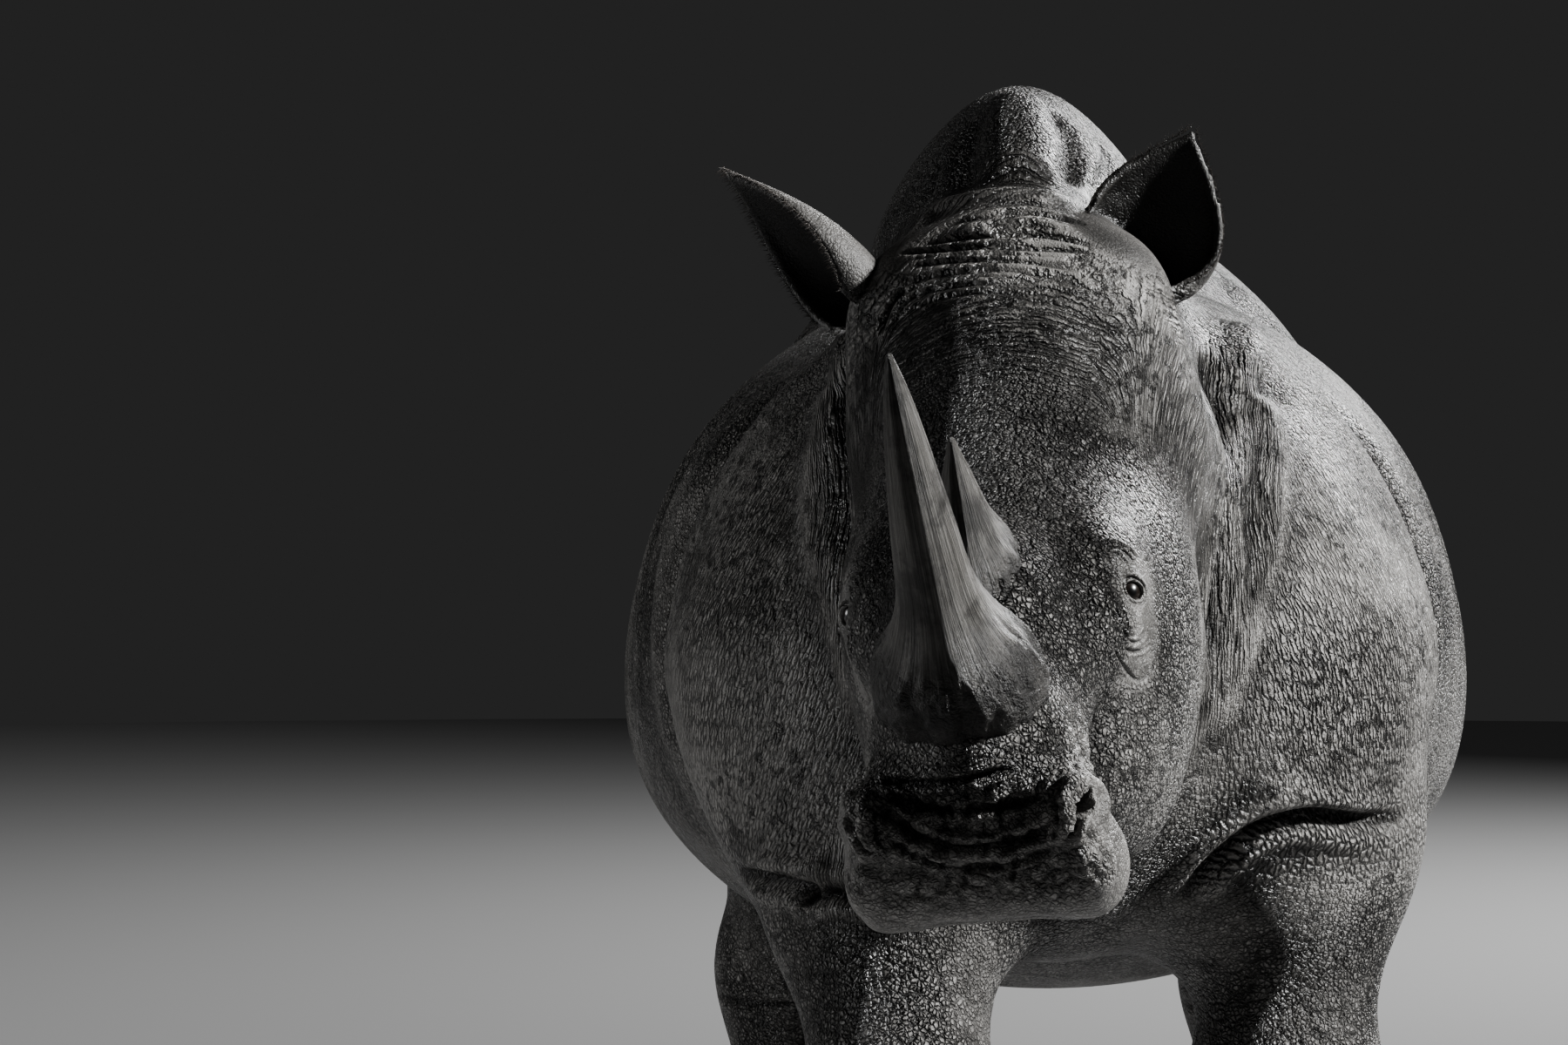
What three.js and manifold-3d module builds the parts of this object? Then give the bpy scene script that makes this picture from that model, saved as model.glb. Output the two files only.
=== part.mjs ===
// A white rhinoceros bull standing with its head lowered and its right fore foot a step ahead,
// life size.
// Millimetres, +Z up, floor at z = 0. The animal faces -Y, and its left side is +X.
// The flesh is one soft field of rounded masses that melt into each other. It is meshed
// region by region and parted with thin plane cuts. Horns, ears, eyes, toenails and tail
// are lofted and seated on it.
import * as THREE from "three";
import { mergeVertices } from "three/addons/utils/BufferGeometryUtils.js";
import Module from "manifold-3d";

const wasm = await Module();
wasm.setup();

// ---------------------------------------------------------------- driving dimensions
const humpHeight = 1752; // top of the neck hump, the highest point of the back
const rumpHeight = 1640;
const bellyClearance = 545;
const bellyHalfWidth = 576;
const shoulderHalfWidth = 455;
const hindLegSetBack = 1480; // from the fore legs' axis to the hind legs'
const centring = new THREE.Vector3(4, -272, 0); // from the fore legs' axis to the middle of the outline
const gap = 0.3; // left between neighbouring solids
const wide = 4000; // half size of a box that acts as a cutting plane

const head = {
  pivot: new THREE.Vector3(-33, -450, 1367), // inside the back of the skull
  pitch: THREE.MathUtils.degToRad(36.5), // nose down
  yaw: THREE.MathUtils.degToRad(4.75), // towards the animal's right
  roll: THREE.MathUtils.degToRad(6.8), // crown towards the animal's right
};
const cell = { trunk: 118, neck: 90, head: 50, leg: 84, foot: 64 }; // facet sizes

// ---------------------------------------------------------------- soft masses
const v = (x, y, z) => new THREE.Vector3(x, y, z);

// An ellipsoid, optionally tilted about the side-to-side axis.
function ball(at, radii, tilt = 0) {
  const c = Math.cos(tilt);
  const s = Math.sin(tilt);
  return (p) => {
    const x = (p.x - at.x) / radii.x;
    const dy = p.y - at.y;
    const dz = p.z - at.z;
    const y = (c * dy + s * dz) / radii.y;
    const z = (c * dz - s * dy) / radii.z;
    const k = Math.hypot(x, y, z);
    const slope = Math.hypot(x / radii.x, y / radii.y, z / radii.z);
    return k < 1e-6 ? -Math.min(radii.x, radii.y, radii.z) : (k * (k - 1)) / slope;
  };
}

// A tapered limb from a to b. wide stretches its section sideways.
function limb(a, b, ra, rb, wide = 1) {
  const ax = a.x / wide;
  const dx = b.x / wide - ax;
  const dy = b.y - a.y;
  const dz = b.z - a.z;
  const long = dx * dx + dy * dy + dz * dz;
  return (p) => {
    const px = p.x / wide - ax;
    const py = p.y - a.y;
    const pz = p.z - a.z;
    const t = Math.min(1, Math.max(0, (px * dx + py * dy + pz * dz) / long));
    return Math.hypot(px - t * dx, py - t * dy, pz - t * dz) - ra - t * (rb - ra);
  };
}

// A box with rounded edges.
function block(at, half, round) {
  return (p) => {
    const x = Math.abs(p.x - at.x) - half.x + round;
    const y = Math.abs(p.y - at.y) - half.y + round;
    const z = Math.abs(p.z - at.z) - half.z + round;
    const out = Math.hypot(Math.max(x, 0), Math.max(y, 0), Math.max(z, 0));
    return out + Math.min(0, Math.max(x, y, z)) - round;
  };
}

// The same mass on both sides of the middle plane.
const both = (mass) => (p) => mass({ x: Math.abs(p.x), y: p.y, z: p.z });

// Joins masses, with a soft fillet of about k millimetres.
function melt(k, masses) {
  return (p) => {
    let d = masses[0](p);
    for (let i = 1; i < masses.length; i++) {
      const e = masses[i](p);
      const h = Math.max(0, k - Math.abs(d - e)) / k;
      d = Math.min(d, e) - (h * h * k) / 4;
    }
    return d;
  };
}

// ---------------------------------------------------------------- the trunk
const trunkMasses = melt(150, [
  ball(v(-4, 660, 1040), v(bellyHalfWidth - 18, 960, 478)), // rib cage
  ball(v(-4, 800, 880), v(bellyHalfWidth - 12, 740, 880 - bellyClearance)), // belly
  ball(v(0, 1330, 1190), v(400, 500, rumpHeight - 1200)), // croup
  ball(v(0, 1540, 1110), v(330, 290, 330)), // buttocks
  ball(v(0, -60, 1000), v(235, 320, 365)), // brisket
]);
const shoulderMass = both(melt(120, [
  limb(v(190, 60, 1290), v(235, -30, 1010), 150, 205),
  ball(v(250, 20, 950), v(shoulderHalfWidth - 255, 270, 330)),
]));
const hipMass = both(melt(120, [
  ball(v(235, 1420, 1060), v(225, 300, 380), 0.1),
  ball(v(290, 1330, 860), v(190, 240, 270), 0.2),
]));

// ---------------------------------------------------------------- the neck and its hump
const neckMasses = melt(100, [
  limb(v(-2, -80, 1160), v(-26, -470, 1290), 256, 212),
  ball(v(-42, -190, 1440), v(158, 330, humpHeight - 1447), 0.1), // hump
  limb(v(-35, -120, 1500), v(0, 430, 1360), 172, 185), // withers, sloping down behind the hump
  limb(v(-44, -260, 1470), v(-48, -520, 1395), 165, 145), // nape
  ball(v(-15, -310, 1030), v(180, 250, 235), -0.4), // throat
]);

// ---------------------------------------------------------------- the head, in its own frame
// Here the nose points along -Y, +Z is the crown, and the origin is the head's pivot.
const n = (x, q, z) => v(x, -q, z); // q runs forward from the pivot
const headMasses = melt(45, [
  ball(n(0, 60, 35), v(172, 200, 168)), // brain case
  ball(n(0, -20, 130), v(120, 95, 78)), // poll
  both(ball(n(122, 14, 130), v(66, 84, 74))), // ear roots
  limb(n(0, 150, 28), n(0, 720, 45), 158, 110, 1.08), // face
  both(ball(n(99, 385, -148), v(98, 240, 198))), // cheeks
  both(ball(n(112, 318, -72), v(99, 190, 150))), // cheek bones
  limb(n(0, 300, -200), n(0, 770, -88), 138, 62, 1.4), // lower jaw
  both(ball(n(112, 462, 48), v(66, 122, 80))), // orbits
  ball(n(0, 560, 122), v(90, 104, 66)), // seat of the rear horn
  ball(n(0, 748, 95), v(99, 106, 90)), // seat of the front horn
  block(n(0, 795, -8), v(122, 92, 86), 60), // muzzle
  limb(n(-100, 840, -44), n(100, 840, -44), 37, 37), // upper lip
  both(ball(n(119, 822, -58), v(40, 54, 58))), // lip pads
  both(ball(n(111, 838, 34), v(32, 45, 54))), // nostril wings
  limb(n(-76, 800, -84), n(76, 800, -84), 32, 32), // lower lip
]);
const headPose = new THREE.Matrix4()
  .makeTranslation(head.pivot.x, head.pivot.y, head.pivot.z)
  .multiply(new THREE.Matrix4().makeRotationZ(-head.yaw))
  .multiply(new THREE.Matrix4().makeRotationX(head.pitch))
  .multiply(new THREE.Matrix4().makeRotationY(-head.roll));
const headPoseBack = headPose.clone().invert();
const onHead = new THREE.Vector3();
const headInPlace = (p) => headMasses(onHead.set(p.x, p.y, p.z).applyMatrix4(headPoseBack));

// ---------------------------------------------------------------- the legs
// Each leg is a chain of limbs through its joints, down to a broad padded foot.
function pad(foot, size) {
  const at = (dy, z) => v(foot.x, foot.y + dy, z);
  return [
    limb(at(0, 150), at(-8, 50), 100 * size, 122 * size),
    ball(at(-62, 62), v(104 * size, 86 * size, 70)), // toes
  ];
}
function foreLeg({ root, elbow, knee, foot }) {
  return melt(70, [
    limb(root, elbow, 205, 158), // upper arm
    limb(elbow, knee, 142, 100), // forearm
    ball(knee, v(102, 108, 118)),
    limb(knee, v(foot.x, foot.y + 8, 200), 98, 95), // cannon
    ...pad(foot, 1.02),
  ]);
}
function hindLeg({ root, elbow, knee, foot }) {
  return melt(70, [
    limb(root, elbow, 235, 182), // thigh
    limb(elbow, knee, 156, 96), // shank
    ball(knee, v(88, 112, 118)), // hock
    limb(knee, v(foot.x, foot.y + 12, 200), 92, 90), // cannon
    ...pad(foot, 0.95),
  ]);
}
const back = hindLegSetBack;
const legs = [
  { name: "foreleg_left", side: 1, make: foreLeg,
    root: v(250, 20, 980), elbow: v(312, 25, 780), knee: v(304, -5, 450), foot: v(292, 30, 0),
    box: { low: v(150, -420, -60), high: v(640, 215, 770) } },
  { name: "foreleg_right", side: -1, make: foreLeg,
    root: v(-250, -40, 960), elbow: v(-205, -190, 740), knee: v(-186, -330, 440), foot: v(-165, -390, 0),
    box: { low: v(-640, -760, -60), high: v(-50, 20, 720) } },
  { name: "hindleg_left", side: 1, make: hindLeg,
    root: v(262, back - 70, 960), elbow: v(295, back - 150, 770), knee: v(322, back, 455),
    foot: v(335, back - 60, 0), box: { low: v(90, back - 320, -60), high: v(640, 2000, 700) } },
  { name: "hindleg_right", side: -1, make: hindLeg,
    root: v(-262, back - 50, 960), elbow: v(-330, back - 60, 770), knee: v(-385, back + 110, 450),
    foot: v(-378, back + 60, 0), box: { low: v(-640, back - 260, -60), high: v(-90, 2000, 700) } },
];
for (const leg of legs) leg.field = leg.make(leg);

const flesh = melt(90, [
  melt(120, [trunkMasses, shoulderMass, hipMass]),
  neckMasses,
  headInPlace,
  ...legs.map((leg) => leg.field),
]);

// ---------------------------------------------------------------- meshing a field
// Surface nets: one vertex in each cell that the surface crosses, drawn onto the surface.
function netMesh(field, low, high, size) {
  const nx = Math.ceil((high.x - low.x) / size) + 1;
  const ny = Math.ceil((high.y - low.y) / size) + 1;
  const nz = Math.ceil((high.z - low.z) / size) + 1;
  const at = (i, j, k) => (k * ny + j) * nx + i;
  const value = new Float64Array(nx * ny * nz);
  const p = v(0, 0, 0);
  for (let k = 0; k < nz; k++)
    for (let j = 0; j < ny; j++)
      for (let i = 0; i < nx; i++) {
        const edge = i === 0 || j === 0 || k === 0 || i === nx - 1 || j === ny - 1 || k === nz - 1;
        p.set(low.x + i * size, low.y + j * size, low.z + k * size);
        value[at(i, j, k)] = edge ? Math.max(size / 2, field(p)) : field(p);
      }
  const corners = [0, 1, 2, 3, 4, 5, 6, 7].map((c) => [c & 1, (c >> 1) & 1, c >> 2]);
  const edges = [];
  for (let a = 0; a < 8; a++)
    for (const bit of [1, 2, 4]) if (!(a & bit)) edges.push([a, a | bit]);
  const cellVertex = new Map();
  const points = [];
  for (let k = 0; k < nz - 1; k++)
    for (let j = 0; j < ny - 1; j++)
      for (let i = 0; i < nx - 1; i++) {
        const d = corners.map(([a, b, c]) => value[at(i + a, j + b, k + c)]);
        const sum = [0, 0, 0];
        let crossings = 0;
        for (const [a, b] of edges) {
          if (d[a] < 0 === d[b] < 0) continue;
          const t = d[a] / (d[a] - d[b]);
          for (let m = 0; m < 3; m++) sum[m] += corners[a][m] + t * (corners[b][m] - corners[a][m]);
          crossings++;
        }
        if (!crossings) continue;
        cellVertex.set(at(i, j, k), points.length);
        p.set(i + sum[0] / crossings, j + sum[1] / crossings, k + sum[2] / crossings);
        const inner = i > 0 && j > 0 && k > 0 && i < nx - 2 && j < ny - 2 && k < nz - 2;
        p.multiplyScalar(size).add(low);
        points.push(inner ? ontoSurface(field, p, size) : p.clone());
      }
  const faces = [];
  const steps = [at(1, 0, 0), at(0, 1, 0), at(0, 0, 1)];
  for (let k = 0; k < nz - 1; k++)
    for (let j = 0; j < ny - 1; j++)
      for (let i = 0; i < nx - 1; i++)
        for (let m = 0; m < 3; m++) {
          const here = at(i, j, k);
          const inside = value[here] < 0;
          if (inside === value[here + steps[m]] < 0) continue;
          const u = steps[(m + 1) % 3];
          const w = steps[(m + 2) % 3];
          const quad = [here, here - u, here - u - w, here - w].map((c) => cellVertex.get(c));
          if (!inside) quad.reverse();
          const [a, b, c, d] = quad;
          const short = points[a].distanceTo(points[c]) < points[b].distanceTo(points[d]);
          faces.push(...(short ? [a, b, c, a, c, d] : [a, b, d, b, c, d]));
        }
  return solidFrom(points, faces);
}

// Moves a point by at most half a cell onto the field's zero.
function ontoSurface(field, start, size) {
  const p = start.clone();
  const h = size * 0.05;
  for (let turn = 0; turn < 3; turn++) {
    const d = field(p);
    const slope = v(
      field(v(p.x + h, p.y, p.z)) - d,
      field(v(p.x, p.y + h, p.z)) - d,
      field(v(p.x, p.y, p.z + h)) - d,
    ).divideScalar(h);
    p.addScaledVector(slope, -d / Math.max(0.2, slope.lengthSq()));
  }
  return p.sub(start).clampLength(0, size * 0.5).add(start);
}

// ---------------------------------------------------------------- solids and meshes
function solidFrom(points, faces) {
  const vertProperties = new Float32Array(points.flatMap((p) => [p.x, p.y, p.z]));
  return new wasm.Manifold(
    new wasm.Mesh({ numProp: 3, vertProperties, triVerts: new Uint32Array(faces) }),
  );
}

function solidOf(geometry) {
  const plain = geometry.clone();
  plain.deleteAttribute("normal");
  plain.deleteAttribute("uv");
  const merged = mergeVertices(plain, 1e-3);
  return new wasm.Manifold(
    new wasm.Mesh({
      numProp: 3,
      vertProperties: merged.attributes.position.array,
      triVerts: new Uint32Array(merged.index.array),
    }),
  );
}

function geometryOf(solid) {
  const mesh = solid.getMesh();
  const geometry = new THREE.BufferGeometry();
  geometry.setAttribute("position", new THREE.BufferAttribute(mesh.vertProperties, 3));
  geometry.setIndex(new THREE.BufferAttribute(mesh.triVerts, 1));
  geometry.computeVertexNormals();
  return geometry;
}

// The half space on the side that normal points to, through a point, as one large box.
function halfSpace(through, normal, set = 0) {
  const box = new THREE.BoxGeometry(2 * wide, 2 * wide, wide);
  box.translate(0, 0, wide / 2 + set);
  const turn = new THREE.Quaternion().setFromUnitVectors(v(0, 0, 1), normal.clone().normalize());
  box.applyQuaternion(turn).translate(through.x, through.y, through.z);
  return box;
}

// A closed loft through rings of equal count, with a flat fan at each end.
function loft(rings) {
  const count = rings[0].length;
  const points = rings.flat();
  const faces = [];
  for (let r = 0; r < rings.length - 1; r++)
    for (let i = 0; i < count; i++) {
      const a = r * count + i;
      const b = r * count + ((i + 1) % count);
      faces.push(a, b, b + count, a, b + count, a + count);
    }
  for (const [ring, flip] of [[0, true], [rings.length - 1, false]]) {
    const middle = v(0, 0, 0);
    for (const p of rings[ring]) middle.addScaledVector(p, 1 / count);
    points.push(middle);
    for (let i = 0; i < count; i++) {
      const a = ring * count + i;
      const b = ring * count + ((i + 1) % count);
      faces.push(...(flip ? [b, a, points.length - 1] : [a, b, points.length - 1]));
    }
  }
  return solidFrom(points, faces);
}

// ---------------------------------------------------------------- finishes
function matt(color, roughness) {
  return new THREE.MeshStandardMaterial({ color, roughness, metalness: 0 });
}
const finish = {
  hide: matt(0x6f6963, 0.85),
  horn: matt(0x8a8070, 0.5),
  eye: matt(0x140d08, 0.08),
  nail: matt(0x7d7365, 0.55),
  hair: matt(0x1e1a17, 0.7),
};

// ---------------------------------------------------------------- the scene graph
const rhino = new THREE.Group();
const body = new THREE.Group(); // in the fore legs' axis frame
body.position.copy(centring);
rhino.add(body);
const headGroup = new THREE.Group();
headPose.decompose(headGroup.position, headGroup.quaternion, headGroup.scale);
body.add(headGroup);

function addMesh(group, name, solid, material) {
  const mesh = new THREE.Mesh(geometryOf(solid), material);
  mesh.name = name;
  group.add(mesh);
}

// ---------------------------------------------------------------- parting planes
// Each plane is a point and the normal of the side that the named region lies on.
const headBack = { through: v(0, -440, 1300), normal: v(0, -1, 0.1) };
const neckBack = { through: v(0, -190, 1250), normal: v(0, -0.945, 0.327) };
const jawTop = { through: n(0, 900, -76), normal: v(0, -0.1, -1) }; // in the head's frame
const jawBack = { through: n(0, 235, -150), normal: v(0, -1, 0) };
const floorUp = { through: v(0, 0, 0), normal: v(0, 0, 1) };
const ankleUp = { through: v(0, 0, 185), normal: v(0, 0, 1) };

function keep(solid, face, set = gap / 2) {
  return solid.intersect(solidOf(halfSpace(face.through, face.normal, set)));
}

function flipped(face) {
  return { through: face.through, normal: face.normal.clone().negate() };
}

// A box between two corners, grown by set on every side, as a solid.
function region(low, high, set) {
  const size = high.clone().sub(low).addScalar(2 * set);
  const middle = low.clone().add(high).divideScalar(2);
  const box = new THREE.BoxGeometry(size.x, size.y, size.z);
  return solidOf(box.translate(middle.x, middle.y, middle.z));
}

function largest(solid) {
  return solid.decompose().sort((a, b) => b.volume() - a.volume())[0];
}

// ---------------------------------------------------------------- rings for lofts
// An ellipse about a centre, in the plane of two directions.
function ring(centre, across, along, ra, rb, count = 10) {
  const points = [];
  for (let i = 0; i < count; i++) {
    const a = (i / count) * 2 * Math.PI;
    const p = centre.clone();
    p.addScaledVector(across, Math.cos(a) * ra);
    p.addScaledVector(along, Math.sin(a) * rb);
    points.push(p);
  }
  return points;
}

// Rings square to a path in a plane x = constant. Each section is [half width, half depth].
function ringsAlong(path, sections) {
  const across = v(1, 0, 0);
  return path.map((p, i) => {
    const before = path[Math.max(0, i - 1)];
    const after = path[Math.min(path.length - 1, i + 1)];
    const along = after.clone().sub(before).cross(across).normalize();
    return ring(p, across, along, sections[i][0], sections[i][1]);
  });
}

// ---------------------------------------------------------------- horns
// Stations from base to tip: [q, z, half width, half length].
const frontHorn = [
  [738, 112, 90, 84],
  [748, 165, 98, 93],
  [756, 208, 90, 88],
  [757, 248, 66, 70],
  [755, 305, 46, 52],
  [750, 395, 36, 42],
  [742, 485, 25, 30],
  [731, 565, 13, 16],
  [724, 605, 4, 5],
];
const rearHorn = [
  [562, 130, 62, 70],
  [561, 195, 54, 62],
  [558, 240, 35, 44],
  [553, 295, 19, 24],
  [547, 350, 4, 5],
];
function horn(stations, lean) {
  const z0 = stations[0][1];
  const path = stations.map(([q, z]) => n(lean * (z - z0), q, z));
  return loft(ringsAlong(path, stations.map(([, , wide, long]) => [wide, long])));
}

// ---------------------------------------------------------------- ears
// Each ear runs from its base towards its tip. Its hollow faces the open direction.
const ears = [
  {
    name: "ear_left",
    base: v(80, -505, 1456),
    tip: v(0.36, 0.04, 0.93),
    open: v(0.05, -1, 0.1),
    long: 250,
    wide: 1.12,
  },
  {
    name: "ear_right",
    base: v(-196, -505, 1436),
    tip: v(-0.76, 0.02, 0.65),
    open: v(-0.45, -0.45, -0.75),
    long: 290,
    wide: 1,
  },
];
// Sections of the ear and of its hollow: [place along it, half width, half depth, lift].
const earOuter = [
  [-0.1, 42, 43, -4],
  [0.08, 52, 48, -4],
  [0.22, 68, 51, -4],
  [0.4, 80, 50, -6],
  [0.56, 76, 42, -8],
  [0.74, 58, 30, -12],
  [0.9, 31, 17, -16],
  [1, 6, 6, -18],
];
const earInner = [
  [0.16, 26, 18, 14],
  [0.28, 52, 34, 18],
  [0.42, 68, 46, 26],
  [0.58, 64, 46, 26],
  [0.76, 46, 36, 20],
  [0.92, 18, 22, 12],
];
function ear({ base, tip, open, long, wide }) {
  const up = tip.clone().normalize();
  const across = open.clone().cross(up).normalize();
  const out = up.clone().cross(across);
  const shell = (sections) => loft(sections.map(([t, half, deep, lift]) => {
    const centre = base.clone().addScaledVector(up, t * long).addScaledVector(out, lift);
    return ring(centre, across, out, half * wide, deep);
  }));
  return shell(earOuter).subtract(shell(earInner));
}

// ---------------------------------------------------------------- eyes
const eyeRadius = 19;
const socketRadius = 17; // of the opening between the lids
const socketForward = 19; // from the eye's middle to the opening's
const eyes = [
  { name: "eye_left", at: n(156, 482, 58), out: n(0.62, 0.64, 0.45) }, // out: where it looks
  { name: "eye_right", at: n(-156, 482, 58), out: n(-0.62, 0.64, 0.45) },
];
function eyeball(at, radius) {
  const geometry = new THREE.SphereGeometry(radius, 12, 9);
  return solidOf(geometry.rotateX(Math.PI / 2).translate(at.x, at.y, at.z));
}

// ---------------------------------------------------------------- toenails
const nails = [
  { tag: "mid", turn: 0, half: 0.44, height: 84, radius: 146 },
  { tag: "outer", turn: 0.98, half: 0.36, height: 70, radius: 131 },
  { tag: "inner", turn: -0.98, half: 0.36, height: 70, radius: 131 },
];
// A point on the foot's outline, at an angle from straight ahead.
function polar(centre, radius, angle, z) {
  return v(centre.x + radius * Math.sin(angle), centre.y - radius * Math.cos(angle), z);
}

// A curved plate on the front of a foot.
function nail(centre, { radius, half, height }, turn) {
  const rows = [
    [3, 1, 10],
    [0.4 * height, 1, 10],
    [0.8 * height, 0.88, 7],
    [height, 0.62, 3],
  ];
  const steps = [-1, 0, 1];
  return loft(rows.map(([z, narrow, proud]) => {
    const face = steps.map((t) => polar(centre, radius + proud, turn + half * narrow * t, z));
    const root = steps.map((t) => polar(centre, radius - 34, turn + half * narrow * t, z));
    return [...face, ...root.reverse()];
  }));
}

// ---------------------------------------------------------------- tail
// Stations down the tail and its brush: [y, z, half width, half depth].
const tailStations = [
  [1745, 1345, 46, 40],
  [1830, 1310, 40, 36],
  [1885, 1230, 33, 30],
  [1905, 1100, 27, 24],
  [1900, 960, 22, 19],
  [1893, 820, 17, 15],
  [1890, 735, 14, 12],
];
const brushStations = [
  [1890, 734, 13, 11],
  [1889, 700, 27, 13],
  [1888, 640, 34, 14],
  [1888, 570, 26, 11],
  [1888, 520, 8, 4],
];
function hanging(stations) {
  const path = stations.map(([y, z]) => v(0, y, z));
  return loft(ringsAlong(path, stations.map(([, , wide, deep]) => [wide, deep])));
}

// ---------------------------------------------------------------- building each region
function buildHead() {
  const fleshOnHead = (p) => flesh(p.clone().applyMatrix4(headPose));
  const whole = netMesh(fleshOnHead, v(-260, -960, -390), v(260, 300, 330), cell.head);
  const front = halfSpace(headBack.through, headBack.normal, gap / 2).applyMatrix4(headPoseBack);
  const solid = whole.intersect(solidOf(front));
  const jaw = keep(keep(solid, jawTop), jawBack);
  let skull = keep(solid, flipped(jawTop)).add(keep(solid, flipped(jawBack)));
  addMesh(headGroup, "lower_jaw", jaw, finish.hide);
  const seated = (shape) => shape.subtract(skull).translate([0, 0, gap]);
  addMesh(headGroup, "horn_front", seated(horn(frontHorn, -0.006)), finish.horn);
  addMesh(headGroup, "horn_rear", seated(horn(rearHorn, 0.036)), finish.horn);
  for (const eye of eyes) {
    const opening = eye.at.clone().addScaledVector(eye.out, socketForward);
    skull = skull.subtract(eyeball(eye.at, eyeRadius + gap)).subtract(eyeball(opening, socketRadius));
    addMesh(headGroup, eye.name, eyeball(eye.at, eyeRadius), finish.eye);
  }
  addMesh(headGroup, "head", skull, finish.hide);
  return skull.transform([...headPose.elements]); // on the body
}

function buildNeck() {
  const whole = netMesh(flesh, v(-520, -720, 600), v(520, 160, 1860), cell.neck);
  const solid = keep(keep(whole, flipped(headBack)), neckBack);
  addMesh(body, "neck", solid, finish.hide);
  return solid;
}

function buildEar(one, seats) {
  let solid = ear(one);
  for (const seat of seats) solid = solid.subtract(seat);
  const away = one.tip.clone().setLength(gap + 0.1);
  addMesh(body, one.name, largest(solid).translate([away.x, away.y, away.z]), finish.hide);
}

function buildLeg(leg) {
  const { low, high } = leg.box;
  const reach = netMesh(flesh, low.clone().addScalar(-80), high.clone().addScalar(80), cell.leg);
  const whole = reach.intersect(region(low, high, -gap / 2));
  addMesh(body, leg.name, largest(keep(whole, ankleUp)), finish.hide);
}

function buildFoot(leg) {
  const centre = v(leg.foot.x, leg.foot.y - 8, 0);
  const low = centre.clone().add(v(-210, -260, -100));
  const high = centre.clone().add(v(210, 240, 260));
  const whole = netMesh(flesh, low, high, cell.foot);
  const foot = largest(keep(keep(whole, flipped(ankleUp)), floorUp, 0));
  addMesh(body, leg.name.replace("leg", "foot"), foot, finish.hide);
  for (const one of nails) {
    const turn = one.turn * leg.side;
    const plate = largest(nail(centre, one, turn).subtract(foot));
    const away = polar(v(0, 0, 0), gap + 0.1, turn, 0);
    const name = `nail_${leg.name.replace("leg", "")}_${one.tag}`;
    addMesh(body, name, plate.translate([away.x, away.y, 0]), finish.nail);
  }
}

function buildTrunk() {
  let solid = netMesh(flesh, v(-760, -520, 420), v(760, 1980, 1900), cell.trunk);
  solid = keep(solid, flipped(neckBack));
  for (const { box } of legs) solid = solid.subtract(region(box.low, box.high, gap / 2));
  addMesh(body, "trunk", solid, finish.hide);
  return solid;
}

function buildTail(trunk) {
  const solid = largest(hanging(tailStations).subtract(trunk));
  addMesh(body, "tail", solid.translate([0, gap + 0.1, 0]), finish.hide);
  const brush = hanging(brushStations);
  addMesh(body, "tail_tuft", brush.translate([0, gap + 0.1, -gap]), finish.hair);
}

const skullOnBody = buildHead();
const neck = buildNeck();
for (const one of ears) buildEar(one, [skullOnBody, neck]);
for (const leg of legs) buildLeg(leg);
for (const leg of legs) buildFoot(leg);
buildTail(buildTrunk());

export default rhino;
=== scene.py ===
import math
from functools import reduce
import bmesh
import bpy
import numpy as np
from mathutils import Euler, Matrix, Vector
from mathutils.bvhtree import BVHTree


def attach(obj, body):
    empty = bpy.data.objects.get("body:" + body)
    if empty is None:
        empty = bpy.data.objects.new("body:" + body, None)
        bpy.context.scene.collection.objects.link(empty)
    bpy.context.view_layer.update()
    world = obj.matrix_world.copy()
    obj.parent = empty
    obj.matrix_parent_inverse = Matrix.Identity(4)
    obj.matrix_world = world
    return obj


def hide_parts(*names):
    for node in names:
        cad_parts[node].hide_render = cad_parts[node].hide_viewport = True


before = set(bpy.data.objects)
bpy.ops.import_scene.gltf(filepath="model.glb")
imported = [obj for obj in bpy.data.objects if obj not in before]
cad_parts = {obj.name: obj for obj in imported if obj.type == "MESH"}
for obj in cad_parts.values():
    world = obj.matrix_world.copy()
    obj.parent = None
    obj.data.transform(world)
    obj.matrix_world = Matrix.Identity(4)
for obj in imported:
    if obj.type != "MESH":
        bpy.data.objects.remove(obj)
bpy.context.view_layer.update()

scene = bpy.context.scene
canvas = {"wide": 1800, "high": 1200}  # pixels

# Camera
camera = {
    "at": (-0.055, -8.872, 1.5),
    "yaw": -0.0332,  # towards +X
    "pitch": 0.0362,  # downwards
    "lens": 153.0,  # mm, on a sensor 36 mm wide
    "sensor": 36.0,
}


def linked(name, data):
    thing = bpy.data.objects.new(name, data)
    scene.collection.objects.link(thing)
    return thing


def addCamera(spec):
    data = bpy.data.cameras.new("camera")
    data.lens = spec["lens"]
    data.sensor_width = spec["sensor"]
    thing = linked("camera", data)
    thing.location = spec["at"]
    thing.rotation_euler = Euler((math.pi / 2 - spec["pitch"], 0, -spec["yaw"]), "XYZ")
    scene.camera = thing
    return thing


view = addCamera(camera)
print("camera set")

# Soft masses
# The flesh is one field of rounded masses in millimetres, in the fore legs' axis frame.
centring = np.array([4.0, -272.0, 0.0])  # from that frame to the model's own
bodySize = {
    "humpHeight": 1752,
    "rumpHeight": 1640,
    "bellyClearance": 545,
    "bellyHalfWidth": 576,
    "shoulderHalfWidth": 455,
    "hindLegSetBack": 1480,
}
headPlace = {
    "pivot": np.array([-33.0, -450.0, 1367.0]),
    "pitch": math.radians(36.5),
    "yaw": math.radians(4.75),
    "roll": math.radians(6.8),
}


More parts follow.
